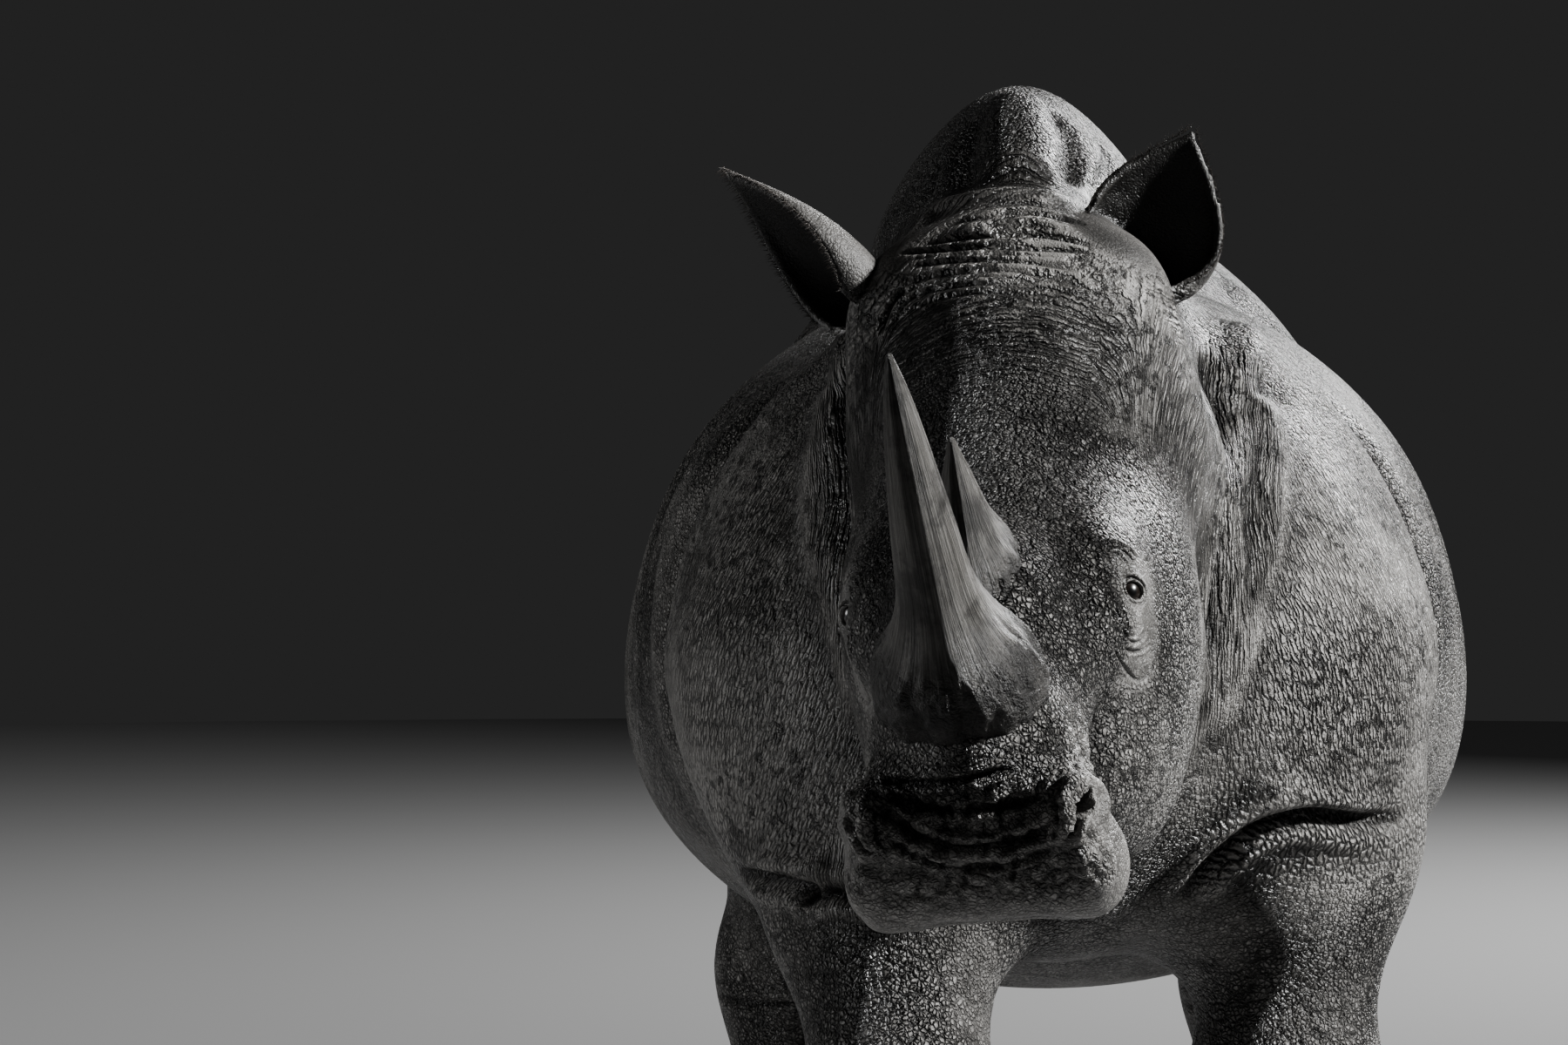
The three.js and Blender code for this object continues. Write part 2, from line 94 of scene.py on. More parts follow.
def ball(at, radii, tilt=0.0):
    c, s = math.cos(tilt), math.sin(tilt)

    def value(p):
        dy, dz = p[:, 1] - at[1], p[:, 2] - at[2]
        x = (p[:, 0] - at[0]) / radii[0]
        y = (c * dy + s * dz) / radii[1]
        z = (c * dz - s * dy) / radii[2]
        k = np.sqrt(x * x + y * y + z * z)
        slope = np.sqrt((x / radii[0]) ** 2 + (y / radii[1]) ** 2 + (z / radii[2]) ** 2)
        return k * (k - 1) / np.maximum(slope, 1e-9)

    return value


def limb(a, b, ra, rb, wide=1.0):
    a = np.array([a[0] / wide, a[1], a[2]])
    d = np.array([b[0] / wide, b[1], b[2]]) - a
    long = float(d @ d)

    def value(p):
        q = p * np.array([1 / wide, 1, 1]) - a
        t = np.clip(q @ d / long, 0, 1)
        return np.linalg.norm(q - t[:, None] * d, axis=1) - ra - t * (rb - ra)

    return value


def block(at, half, rounding):
    def value(p):
        q = np.abs(p - np.array(at)) - np.array(half) + rounding
        out = np.linalg.norm(np.maximum(q, 0), axis=1)
        return out + np.minimum(0, q.max(axis=1)) - rounding

    return value


def both(mass):
    return lambda p: mass(np.column_stack([np.abs(p[:, 0]), p[:, 1:]]))


def melt(k, masses):
    def value(p):
        d = masses[0](p)
        for mass in masses[1:]:
            e = mass(p)
            h = np.maximum(0, k - np.abs(d - e)) / k
            d = np.minimum(d, e) - h * h * k / 4
        return d

    return value


def trunkField(size):
    girth, belly = size["bellyHalfWidth"], size["bellyClearance"]
    return melt(150, [
        ball((-4, 660, 1040), (girth - 18, 960, 478)),  # rib cage
        ball((-4, 800, 880), (girth - 12, 740, 880 - belly)),
        ball((0, 1330, 1190), (400, 500, size["rumpHeight"] - 1200)),  # croup
        ball((0, 1540, 1110), (330, 290, 330)),  # buttocks
        ball((0, -60, 1000), (235, 320, 365)),  # brisket
    ])


def shoulderField(size):
    return both(melt(120, [
        limb((190, 60, 1290), (235, -30, 1010), 150, 205),
        ball((250, 20, 950), (size["shoulderHalfWidth"] - 255, 270, 330)),
    ]))


def hipField():
    return both(melt(120, [
        ball((235, 1420, 1060), (225, 300, 380), 0.1),
        ball((290, 1330, 860), (190, 240, 270), 0.2),
    ]))


def neckField(size):
    return melt(100, [
        limb((-2, -80, 1160), (-26, -470, 1290), 256, 212),
        ball((-42, -190, 1440), (158, 330, size["humpHeight"] - 1447), 0.1),
        limb((-35, -120, 1500), (0, 430, 1360), 172, 185),  # withers
        limb((-44, -260, 1470), (-48, -520, 1395), 165, 145),  # nape
        ball((-15, -310, 1030), (180, 250, 235), -0.4),  # throat
    ])


def headField():
    return melt(45, [  # x to its left, q forward from the pivot, z to the crown
        ball((0, 60, 35), (172, 200, 168)),  # brain case
        ball((0, -20, 130), (120, 95, 78)),  # poll
        both(ball((122, 14, 130), (66, 84, 74))),  # ear roots
        limb((0, 150, 28), (0, 720, 45), 158, 110, 1.08),  # face
        both(ball((99, 385, -148), (98, 240, 198))),  # cheeks
        both(ball((112, 318, -72), (99, 190, 150))),  # cheek bones
        limb((0, 300, -200), (0, 770, -88), 138, 62, 1.4),  # lower jaw
        both(ball((112, 462, 48), (66, 122, 80))),  # orbits
        ball((0, 560, 122), (90, 104, 66)),  # seat of the rear horn
        ball((0, 748, 95), (99, 106, 90)),  # seat of the front horn
        block((0, 795, -8), (122, 92, 86), 60),  # muzzle
        limb((-100, 840, -44), (100, 840, -44), 37, 37),  # upper lip
        both(ball((119, 822, -58), (40, 54, 58))),  # lip pads
        both(ball((111, 838, 34), (32, 45, 54))),  # nostril wings
        limb((-76, 800, -84), (76, 800, -84), 32, 32),  # lower lip
    ])


def turned(place):
    spin = Matrix.Rotation(-place["yaw"], 3, "Z") @ Matrix.Rotation(place["pitch"], 3, "X")
    return np.array(spin @ Matrix.Rotation(-place["roll"], 3, "Y"))


headTurn = turned(headPlace)


def toHead(p):
    q = (p - headPlace["pivot"]) @ headTurn
    return q * np.array([1, -1, 1])


def fromHead(q):
    return (q * np.array([1, -1, 1])) @ headTurn.T + headPlace["pivot"]


def pad(foot, size):
    x, y = foot
    return [
        limb((x, y, 150), (x, y - 8, 50), 100 * size, 122 * size),
        ball((x, y - 62, 62), (104 * size, 86 * size, 70)),  # toes
    ]


def foreLeg(root, elbow, knee, foot):
    return melt(70, [
        limb(root, elbow, 205, 158),  # upper arm
        limb(elbow, knee, 142, 100),
        ball(knee, (102, 108, 118)),
        limb(knee, (foot[0], foot[1] + 8, 200), 98, 95),  # cannon
        *pad(foot, 1.02),
    ])


def hindLeg(root, elbow, knee, foot):
    return melt(70, [
        limb(root, elbow, 235, 182),  # thigh
        limb(elbow, knee, 156, 96),  # shank
        ball(knee, (88, 112, 118)),  # hock
        limb(knee, (foot[0], foot[1] + 12, 200), 92, 90),
        *pad(foot, 0.95),
    ])


back = bodySize["hindLegSetBack"]
feet = {
    "foreLeft": (292, 30),
    "foreRight": (-165, -390),
    "hindLeft": (335, back - 60),
    "hindRight": (-378, back + 60),
}
legFields = [
    foreLeg((250, 20, 980), (312, 25, 780), (304, -5, 450), feet["foreLeft"]),
    foreLeg((-250, -40, 960), (-205, -190, 740), (-186, -330, 440), feet["foreRight"]),
    hindLeg((262, back - 70, 960), (295, back - 150, 770), (322, back, 455), feet["hindLeft"]),
    hindLeg((-262, back - 50, 960), (-330, back - 60, 770), (-385, back + 110, 450), feet["hindRight"]),
]


def tailField():
    path = [(1745, 1345, 40), (1830, 1310, 36), (1885, 1230, 30), (1905, 1100, 24),
            (1900, 960, 19), (1893, 820, 15), (1890, 735, 12)]  # y, z, radius
    pairs = zip(path, path[1:])
    return melt(12, [limb((0, a[0], a[1]), (0, b[0], b[1]), a[2], b[2], 1.12) for a, b in pairs])


def fleshField():
    inHead = headField()
    return melt(90, [
        melt(120, [trunkField(bodySize), shoulderField(bodySize), hipField()]),
        neckField(bodySize),
        lambda p: inHead(toHead(p)),
        *legFields,
    ])


flesh = melt(40, [fleshField(), tailField()])


# Points of a mesh
def readPoints(mesh):
    flat = np.empty(len(mesh.vertices) * 3, np.float32)
    mesh.vertices.foreach_get("co", flat)
    return flat.reshape(-1, 3)


def writePoints(mesh, points):
    mesh.vertices.foreach_set("co", points.astype(np.float32).ravel())
    mesh.update()


def readNormals(mesh):
    flat = np.empty(len(mesh.vertices) * 3, np.float32)
    mesh.vertex_normals.foreach_get("vector", flat)
    return flat.reshape(-1, 3)


def toLeg(points):  # the model's metres to the leg frame's millimetres
    return points * 1000 - centring


def fromLeg(points):
    return (points + centring) / 1000


def legPoints(thing):
    return toLeg(readPoints(thing.data).astype(float))


def smoothStep(low, high, value):
    t = np.clip((value - low) / (high - low), 0, 1)
    return t * t * (3 - 2 * t)


def through(stations, t):  # a smooth curve through rows of numbers, t from 0 to 1
    rows = np.array(stations, float)
    last = len(rows) - 1
    place = np.clip(np.asarray(t, float), 0, 1) * last
    i = np.minimum(place.astype(int), last - 1)
    u = (place - i)[..., None]
    a, b, c, d = (rows[np.clip(i + k, 0, last)] for k in (-1, 0, 1, 2))
    bend = 2 * b + (c - a) * u + (2 * a - 5 * b + 4 * c - d) * u**2 + (3 * b - a - 3 * c + d) * u**3
    return bend / 2


def meshOf(name, shape):
    mesh = bpy.data.meshes.new(name)
    shape.to_mesh(mesh)
    shape.free()
    return mesh


def smoothPiece(name, shape):
    mesh = meshOf(name, shape)
    mesh.shade_smooth()
    return linked(name, mesh)


def settled(thing):  # a new mesh with the object's modifiers applied
    bpy.context.view_layer.update()
    mesh = bpy.data.meshes.new_from_object(thing.evaluated_get(bpy.context.evaluated_depsgraph_get()))
    old = thing.data
    thing.modifiers.clear()
    thing.data = mesh
    bpy.data.meshes.remove(old)
    return mesh


# Ears
earShape = {
    "thick": 10,
    "left": {"base": (80, -505, 1456), "tip": (0.36, 0.04, 0.93), "open": (0.05, -1, 0.1),
             "long": 250, "wide": 1.12},
    "right": {"base": (-196, -505, 1436), "tip": (-0.76, 0.02, 0.65), "open": (-0.45, -0.45, -0.75),
              "long": 290, "wide": 1.0},
    "widest": 179.5,  # degrees, so that the sheet's two edges never meet
    # half width, half depth, lift towards the opening, half angle that the sheet wraps
    "sections": [
        (38, 40, -4, 180), (42, 42, -4, 180), (54, 46, -4, 165), (70, 50, -2, 132), (77, 50, -2, 112),
        (75, 46, -4, 100), (65, 38, -7, 90), (48, 27, -11, 80), (26, 15, -15, 68), (4, 5, -17, 50),
    ],
}


def unit(v):
    v = np.asarray(v, float)
    return v / np.linalg.norm(v)


def earAxes(spec):
    up = unit(spec["tip"])
    across = unit(np.cross(spec["open"], up))
    return up, across, np.cross(up, across)


def earPoint(spec, shape, t, turn):  # on the middle of the ear's wall, in the leg frame
    up, across, out = earAxes(spec)
    wide, deep, lift, _ = through(shape["sections"], t)
    place = np.array(spec["base"]) + up * ((t * 1.1 - 0.1) * spec["long"]) + out * lift
    return place + across * (wide * spec["wide"] * math.sin(turn)) - out * (deep * math.cos(turn))


def earSheet(spec, shape):
    sheet = bmesh.new()
    bmesh.ops.create_grid(sheet, x_segments=48, y_segments=56, size=1)
    for v in sheet.verts:
        t = (v.co.y + 1) / 2
        wrap = min(through(shape["sections"], t)[3], shape["widest"])
        v.co = Vector(fromLeg(earPoint(spec, shape, t, math.radians(wrap) * v.co.x)))
    bmesh.ops.recalc_face_normals(sheet, faces=sheet.faces)
    bmesh.ops.solidify(sheet, geom=sheet.faces[:], thickness=shape["thick"] / 1000)
    return sheet


# The skin's first form
skinShape = {
    "flesh": ["trunk", "neck", "head", "lower_jaw", "foreleg_left", "foreleg_right", "hindleg_left",
              "hindleg_right", "forefoot_left", "forefoot_right", "hindfoot_left", "hindfoot_right",
              "tail"],
    "ears": ["ear_left", "ear_right"],
    "filled": ["eye_left", "eye_right"],
    "voxel": 0.0075,
    "rounds": 3,  # of drawing it onto the flesh
    "step": 2.0,  # mm over which the field's slope is taken
    "farthest": 80,  # mm that a point may move
    "earReach": 0.012,
    "fine": 380,  # the head is made finer forward of this
    "body": 90000,  # triangles kept on the body, then in all
    "all": 197000,
}


def firstSkin(spec):
    whole = bmesh.new()
    for node in spec["flesh"] + spec["filled"]:
        whole.from_mesh(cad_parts[node].data)
    walls = []
    for side in ("left", "right"):
        sheet = earSheet(earShape[side], earShape)
        walls.append(BVHTree.FromBMesh(sheet))
        ear = meshOf("ear", sheet)
        whole.from_mesh(ear)
        bpy.data.meshes.remove(ear)
    socket = eyeShape["socket"]
    for side in (1, -1):
        at = fromLeg(eyeSeat(side) + headWay(socket["way"], side) * socket["forward"])
        plug = Matrix.Translation(at)
        bmesh.ops.create_icosphere(whole, subdivisions=3, radius=socket["radius"] / 1000, matrix=plug)
    bmesh.ops.remove_doubles(whole, verts=whole.verts, dist=1e-6)
    thing = linked("skin", meshOf("skin", whole))
    remesh = thing.modifiers.new("remesh", "REMESH")
    remesh.mode = "VOXEL"
    remesh.voxel_size = spec["voxel"]
    settled(thing)
    return thing, walls


def offFlesh(p):  # 0 on the flesh, 1 on the ears, which keep their own shape
    return smoothStep(8, 18, flesh(p))


def drawnOntoFlesh(points, spec):
    p = toLeg(points)
    start = p.copy()
    step = spec["step"]
    hold = 1 - offFlesh(p)
    for _ in range(spec["rounds"]):
        d = flesh(p)
        slope = np.column_stack([flesh(p + step * axis) - d for axis in np.eye(3)]) / step
        move = slope * (-d / np.maximum(0.2, (slope**2).sum(1)))[:, None]
        p = p + move * hold[:, None]
    away = p - start
    size = np.linalg.norm(away, axis=1)
    p = start + away * np.minimum(1, spec["farthest"] / np.maximum(size, 1e-6))[:, None]
    p[:, 2] = np.maximum(p[:, 2], 0)
    return fromLeg(p)


def drawnOntoEars(points, walls, free, reach):
    points = points.copy()
    for i in np.flatnonzero(free > 0.02):
        here = Vector(points[i])
        found = [wall.find_nearest(here, reach) for wall in walls]
        found = [hit for hit in found if hit[0] is not None]
        if found:
            place = min(found, key=lambda hit: hit[3])[0]
            points[i] = here.lerp(place, free[i])
    return points


def finer(thing, chosen):  # splits every face whose corners are all chosen
    shape = bmesh.new()
    shape.from_mesh(thing.data)
    shape.verts.ensure_lookup_table()
    edges = [e for e in shape.edges if chosen[e.verts[0].index] and chosen[e.verts[1].index]]
    bmesh.ops.subdivide_edges(shape, edges=edges, cuts=1, use_grid_fill=True)
    shape.to_mesh(thing.data)
    shape.free()
    thing.data.update()


# Random fields
def scattered(cells, seed):  # a fixed number from 0 to 1 for each whole-numbered cell
    h = cells[..., 0] * 374761393 + cells[..., 1] * 668265263 + cells[..., 2] * 1440662683 + seed * 974711
    h = h & 0xFFFFFFFF
    h = ((h ^ (h >> 13)) * 1274126177) & 0xFFFFFFFF
    h = ((h ^ (h >> 15)) * 2246822519) & 0xFFFFFFFF
    return ((h ^ (h >> 16)) & 0xFFFFFF) / 0xFFFFFF


def softNoise(p, seed=0):  # about -1 to 1, one bump to each unit of p
    low = np.floor(p).astype(np.int64)
    u = p - low
    u = u * u * (3 - 2 * u)
    total = np.zeros(len(p))
    for corner in np.ndindex(2, 2, 2):
        weight = np.ones(len(p))
        for axis, side in enumerate(corner):
            weight = weight * (u[:, axis] if side else 1 - u[:, axis])
        total += weight * scattered(low + np.array(corner), seed)
    return total * 2 - 1


def layered(p, seed=0, octaves=3):
    return sum(softNoise(p * 2**k, seed + k) / 2**k for k in range(octaves)) / 1.6


def cracks(p, seed=0):  # 0 on the borders of random cells, rising towards their middles
    low = np.floor(p).astype(np.int64)
    nearest = np.full(len(p), 9.0)
    second = np.full(len(p), 9.0)
    for step in np.ndindex(3, 3, 3):
        cell = low + np.array(step) - 1
        seat = np.stack([scattered(cell, seed + k) for k in range(3)], 1)
        d = np.linalg.norm(cell + seat - p, axis=1)
        second = np.minimum(second, np.maximum(nearest, d))
        nearest = np.minimum(nearest, d)
    return second - nearest


# Carving tools. A form is the skin's points and outward directions, in millimetres, leg frame.
class Form:
    def __init__(self, thing):
        self.thing = thing
        self.load()

    def load(self):
        self.points = legPoints(self.thing)
        self.outward = readNormals(self.thing.data).astype(float)
        self.tree = BVHTree.FromObject(self.thing, bpy.context.evaluated_depsgraph_get())

    def keep(self):
        writePoints(self.thing.data, fromLeg(self.points))
        bpy.context.view_layer.update()
        self.load()

    def push(self, chosen, amount):
        self.points[chosen] += self.outward[chosen] * np.asarray(amount)[:, None]

    def snapped(self, path):
        found = [self.tree.find_nearest(Vector(fromLeg(p)))[0] for p in path]
        return toLeg(np.array([list(f) for f in found]))


def pixelRay(at):  # from the camera through a pixel of its image
    turn = view.matrix_world.to_3x3()
    pixels = camera["lens"] / camera["sensor"] * canvas["wide"]
    right = (at[0] - canvas["wide"] / 2) / pixels
    up = (canvas["high"] / 2 - at[1]) / pixels
    return view.location.copy(), turn @ Vector((right, up, -1)).normalized()


def seen(form, pixels):  # where pixels of the camera's image fall on the skin
    hits = []
    for at in pixels:
        hit = form.tree.ray_cast(*pixelRay(at))[0]
        if hit is not None:
            hits.append(list(hit))
    return toLeg(np.array(hits))


def sided(path, side):  # a path given on the left, moved to its own side
    return np.array(path, float) * np.array([side, 1, 1])


def mirrored(path):  # across the head's middle plane
    return fromHead(sided(toHead(path), -1))


def near(form, path, reach):
    low, high = path.min(0) - reach, path.max(0) + reach
    return np.flatnonzero(((form.points > low) & (form.points < high)).all(1))


def spaced(form, path, gap):
    long = np.linalg.norm(np.diff(path, axis=0), axis=1).sum()
    return form.snapped(through(path, np.linspace(0, 1, max(4, int(long / gap)))))


def awayFrom(form, path, reach):  # chosen points, their distance to the path and place along it
    chosen = near(form, path, reach)
    points = form.points[chosen]
    best = np.full(len(chosen), 1e9)
    place = np.zeros(len(chosen))
    for i, (a, b) in enumerate(zip(path, path[1:])):
        part = b - a
        t = np.clip((points - a) @ part / max(part @ part, 1e-9), 0, 1)
        d = ((points - a - t[:, None] * part) ** 2).sum(1)
        closer = d < best
        best[closer] = d[closer]
        place[closer] = ((i + t) / (len(path) - 1))[closer]
    return chosen, np.sqrt(best), place


def crease(form, path, wide, deep, lip=0.0, fade=0.18):
    route = spaced(form, path, wide / 2)
    chosen, d, place = awayFrom(form, route, wide * 3.2)
    ends = smoothStep(0, fade, place) * (1 - smoothStep(1 - fade, 1, place)) if fade else 1.0
    valley = np.exp(-((d / wide) ** 2) * 2.2)
    shoulder = np.exp(-(((d - 1.6 * wide) / wide) ** 2) * 1.6)
    form.push(chosen, ends * (lip * shoulder - deep * valley))


def roll(form, path, wide, high, fade=0.25):
    route = spaced(form, path, wide / 3)
    chosen, d, place = awayFrom(form, route, wide * 2.2)
    ends = smoothStep(0, fade, place) * (1 - smoothStep(1 - fade, 1, place))
    form.push(chosen, ends * high * np.exp(-((d / wide) ** 2)))


# Folds of the face and nape, each through pixels of the camera's image, on the animal's left or middle
faceFolds = {
    "hump": [
        ("roll", 34, 17, [(1166, 106), (1165, 150), (1167, 210)]),
        ("crease", 24, 7, [(1122, 135), (1112, 175), (1106, 220)]),
        ("crease", 24, 7, [(1214, 130), (1226, 170), (1230, 215)]),
        ("crease", 12, 4, [(1085, 180), (1074, 205), (1066, 228)]),
        ("crease", 12, 4, [(1262, 165), (1270, 190), (1272, 215)]),
    ],
    "nape": [
        ("roll", 15, 13, [(1042, 274), (1073, 246), (1111, 233), (1157, 226), (1203, 230), (1248, 236)]),
        ("crease", 7, 5, [(1060, 274), (1096, 257), (1126, 250), (1164, 244), (1203, 248), (1250, 260)]),
        ("roll", 10, 7, [(1078, 272), (1110, 264), (1149, 259), (1187, 257), (1226, 266), (1254, 276)]),
        ("crease", 6, 4.5, [(1056, 282), (1100, 275), (1149, 271), (1190, 270), (1226, 276), (1262, 285)]),
        ("crease", 6, 3.6, [(1030, 291), (1060, 289), (1100, 286), (1164, 285), (1222, 287), (1258, 290)]),
        ("crease", 4, 2.2, [(1045, 298), (1090, 293), (1150, 292), (1215, 295)]),
        ("crease", 6, 3.0, [(1044, 306), (1090, 300), (1140, 299), (1190, 302), (1250, 314)]),
        ("crease", 4, 2.2, [(1020, 346), (1062, 327), (1110, 319), (1160, 318), (1200, 326)]),
        ("crease", 4, 2.2, [(1030, 366), (1065, 347), (1105, 338), (1150, 336), (1185, 344)]),
        ("crease", 6, 2.6, [(1036, 330), (1066, 319), (1110, 313), (1160, 311), (1225, 324)]),
        ("crease", 5, 2.4, [(1030, 352), (1065, 335), (1110, 327), (1150, 325)]),
        ("crease", 6, 4, [(1010, 385), (1022, 352), (1040, 330)]),
    ],
    "muzzle": [
        ("crease", 8, 11, [(1000, 922), (1030, 945), (1060, 963), (1097, 975), (1140, 972), (1180, 962),
                           (1212, 952)]),
        ("crease", 6, 7, [(1003, 893), (1040, 899), (1090, 898), (1130, 891), (1166, 880)]),
        ("crease", 6, 6, [(1012, 912), (1060, 926), (1100, 931), (1150, 926), (1200, 910)]),
        ("crease", 5, 5, [(1010, 948), (1050, 984), (1100, 997), (1160, 993), (1215, 975)]),
        *[("crease", 3, 3, path) for path in (
            [(1150, 884), (1146, 905), (1150, 924)], [(1110, 898), (1108, 914), (1114, 930)],
            [(1132, 932), (1130, 950), (1134, 970)], [(1172, 928), (1176, 946), (1170, 962)],
            [(1070, 928), (1066, 946), (1072, 962)], [(1035, 902), (1032, 920), (1026, 936)],
            [(1120, 976), (1122, 994), (1116, 1012)], [(1160, 976), (1164, 996), (1160, 1016)])],
    ],
    "neck": [
        ("roll", 30, 17, [(1392, 345), (1430, 420), (1452, 485), (1458, 560), (1447, 645), (1440, 710)]),
        ("roll", 22, 9, [(1442, 680), (1430, 735), (1414, 785), (1387, 850)]),
        ("crease", 26, 17, [(1378, 400), (1402, 480), (1408, 560), (1402, 640), (1394, 720), (1386, 780)]),
    ],
    "lipPad": [
        ("roll", 24, 9, [(1236, 975), (1250, 992), (1266, 1002), (1283, 1000)]),
        ("crease", 7, 2.5, [(1246, 950), (1256, 966), (1268, 980), (1280, 990)]),
    ],
    "eye": [
        ("roll", 20, 3, [(1256, 634), (1258, 670), (1264, 705), (1274, 742)]),
        ("crease", 2.6, 3.2, [(1284, 683), (1290, 702), (1297, 726), (1303, 730), (1309, 723), (1314, 713)]),
        ("crease", 2.6, 3.0, [(1278, 690), (1285, 710), (1293, 729), (1303, 738), (1314, 732), (1319, 717)]),
        ("crease", 2.6, 1.4, [(1260, 668), (1270, 695), (1280, 720)]),
        ("crease", 2.8, 3.6, [(1291, 744), (1300, 748), (1310, 747), (1321, 740)]),
        ("crease", 2.8, 2.2, [(1277, 722), (1283, 752), (1295, 772), (1308, 781), (1321, 769), (1327, 750)]),
        ("crease", 2.6, 3.0, [(1264, 640), (1272, 631), (1284, 629), (1296, 638), (1304, 650)]),
        ("crease", 3.0, 3.4, [(1262, 626), (1278, 623), (1294, 630), (1306, 641)]),
        ("crease", 2.6, 2.6, [(1269, 652), (1274, 640), (1283, 636), (1292, 645), (1297, 657)]),
        ("crease", 2.6, 2.4, [(1280, 664), (1281, 650), (1287, 645)]),
        ("roll", 9, 3, [(1292, 752), (1302, 764), (1312, 764), (1319, 754)]),
        ("crease", 3.2, 3.0, [(1262, 812), (1276, 818), (1290, 816)]),
    ],
}


def fold(form, kind, wide, size, path, lip):
    if kind == "crease":
        crease(form, path, wide, size, size * lip)
    else:
        roll(form, path, wide, size)


def carve(form, folds, twins=()):  # rolls first, then creases in the surface they leave
    for wanted in ("roll", "crease"):
        for group, rows in folds.items():
            for kind, wide, size, pixels in rows:
                if kind == wanted:
                    path = seen(form, pixels)
                    for one in [path, mirrored(path)] if group in twins else [path]:
                        fold(form, kind, wide, size, one, 0.35)
        form.keep()


# Folds of the body on its left, in the leg frame. Each has a twin on the right.
bodyFolds = [
    ("crease", 60, 20, [(385, 235, 1430), (440, 222, 1230), (452, 215, 1000), (430, 205, 850),
                        (380, 200, 760)]),
    ("roll", 60, 12, [(330, 60, 1440), (395, 70, 1250), (430, 60, 1050), (430, 40, 920)]),
    ("roll", 48, 26, [(395, 1110, 640), (470, 1075, 760), (515, 1030, 900), (515, 1000, 1060),
                      (480, 990, 1200)]),
    ("crease", 34, 16, [(420, 1180, 690), (490, 1135, 810), (520, 1090, 950), (505, 1060, 1110)]),
    ("crease", 45, 12, [(340, 1440, 1420), (400, 1500, 1230), (420, 1560, 1020), (380, 1610, 830)]),
    ("roll", 60, 16, [(260, 1130, 1500), (330, 1170, 1420), (380, 1230, 1330)]),
    ("crease", 30, 10, [(250, 1690, 1250), (270, 1720, 1080), (240, 1740, 900)]),
]
ribs = {"count": 9, "first": 360, "pitch": 88, "wide": 32, "deep": 1.8, "lip": 1.5, "fade": 0.35}
cleft = {  # between the buttocks
    "wide": 34, "deep": 30, "lip": 6,
    "path": [(0, 1800, 1260), (0, 1840, 1050), (0, 1790, 820), (0, 1640, 680)],
}


def foldBody(form, folds, ribs, cleft):
    for kind, wide, size, path in folds:
        for side in (1, -1):
            fold(form, kind, wide, size, form.snapped(sided(path, side)), 0.3)
    for i in range(ribs["count"]):
        y = ribs["first"] + i * ribs["pitch"]
        path = [(380, y - 20, 1440), (560, y, 1150), (560, y - 40, 880)]
        for side in (1, -1):
            route = form.snapped(sided(path, side))
            crease(form, route, ribs["wide"], ribs["deep"], ribs["lip"], ribs["fade"])
    crease(form, form.snapped(cleft["path"]), cleft["wide"], cleft["deep"], cleft["lip"])


# Creases round the legs: centre x and y, height, middle and half angle, width, depth
legCreases = [
    ((304, -5), 520, 0, 1.5, 8, 6), ((304, -5), 470, 0, 1.5, 8, 6),
    ((304, -5), 415, 0, 1.4, 8, 5), ((294, 15), 235, 0, 3.1, 10, 7), ((294, 20), 190, 0, 3.1, 9, 6),
    ((-186, -330), 505, -0.05, 1.5, 8, 6), ((-186, -330), 455, -0.05, 1.5, 8, 6),
    ((-180, -345), 400, 0, 1.4, 8, 5), ((-168, -370), 235, 0, 3.1, 10, 7), ((-166, -380), 190, 0, 3.1, 9, 6),
    ((322, back), 520, 3.14, 1.3, 10, 7), ((322, back - 10), 400, 0, 1.5, 8, 6),
    ((330, back - 40), 235, 0, 3.1, 10, 7), ((334, back - 50), 188, 0, 3.1, 9, 6),
    ((318, back - 60), 600, 0, 1.8, 14, 9),
    ((-385, back + 105), 520, 3.14, 1.3, 10, 7), ((-385, back + 95), 400, 0, 1.5, 8, 6),
    ((-380, back + 75), 235, 0, 3.1, 10, 7), ((-379, back + 65), 188, 0, 3.1, 9, 6),
    ((-360, back), 600, 0, 1.8, 14, 9),
]


def foldLegs(form, rows, reach=190, dip=14):  # from outside the leg, lowest in the middle
    for (x, y), z, middle, half, wide, deep in rows:
        angles = np.linspace(middle - half, middle + half, 14)
        sag = dip * np.cos(angles - middle)
        path = np.stack([x + reach * np.sin(angles), y - reach * np.cos(angles), z - sag], 1)
        crease(form, form.snapped(path), wide, deep, deep * 0.4, 0.2 if half < 3 else 0.0)


eyeShape = {
    "radius": 19,
    "seat": (156, 482, 58),  # head frame, on the left
    "out": (0.74, 0.54, 0.40),
    "along": (0, 1, -0.15),
    "half": (9.5, 13),  # the opening, along and across
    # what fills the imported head's opening before the lids are shaped
    "socket": {"radius": 18, "forward": 19, "way": (0.62, 0.64, 0.45)},
    "lid": 3.0,
    "gaze": (0.55, 0.62, 0.42),
}


def headWay(direction, side=1):  # a direction of the head, in the leg frame
    return unit((np.array(direction, float) * np.array([side, -1, 1])) @ headTurn.T)


def eyeSeat(side):
    return fromHead(sided(eyeShape["seat"], side))


def surfaceAxes(spec, side):  # out of the head, and along the hollow or opening at right angles to it
    out, along = headWay(spec["out"], side), headWay(spec["along"], side)
    return out, unit(along - out * (along @ out))


def eyeAxes(side):
    out, along = surfaceAxes(eyeShape, side)
    across = np.cross(out, along)
    return out, along, across * np.sign(across[2])


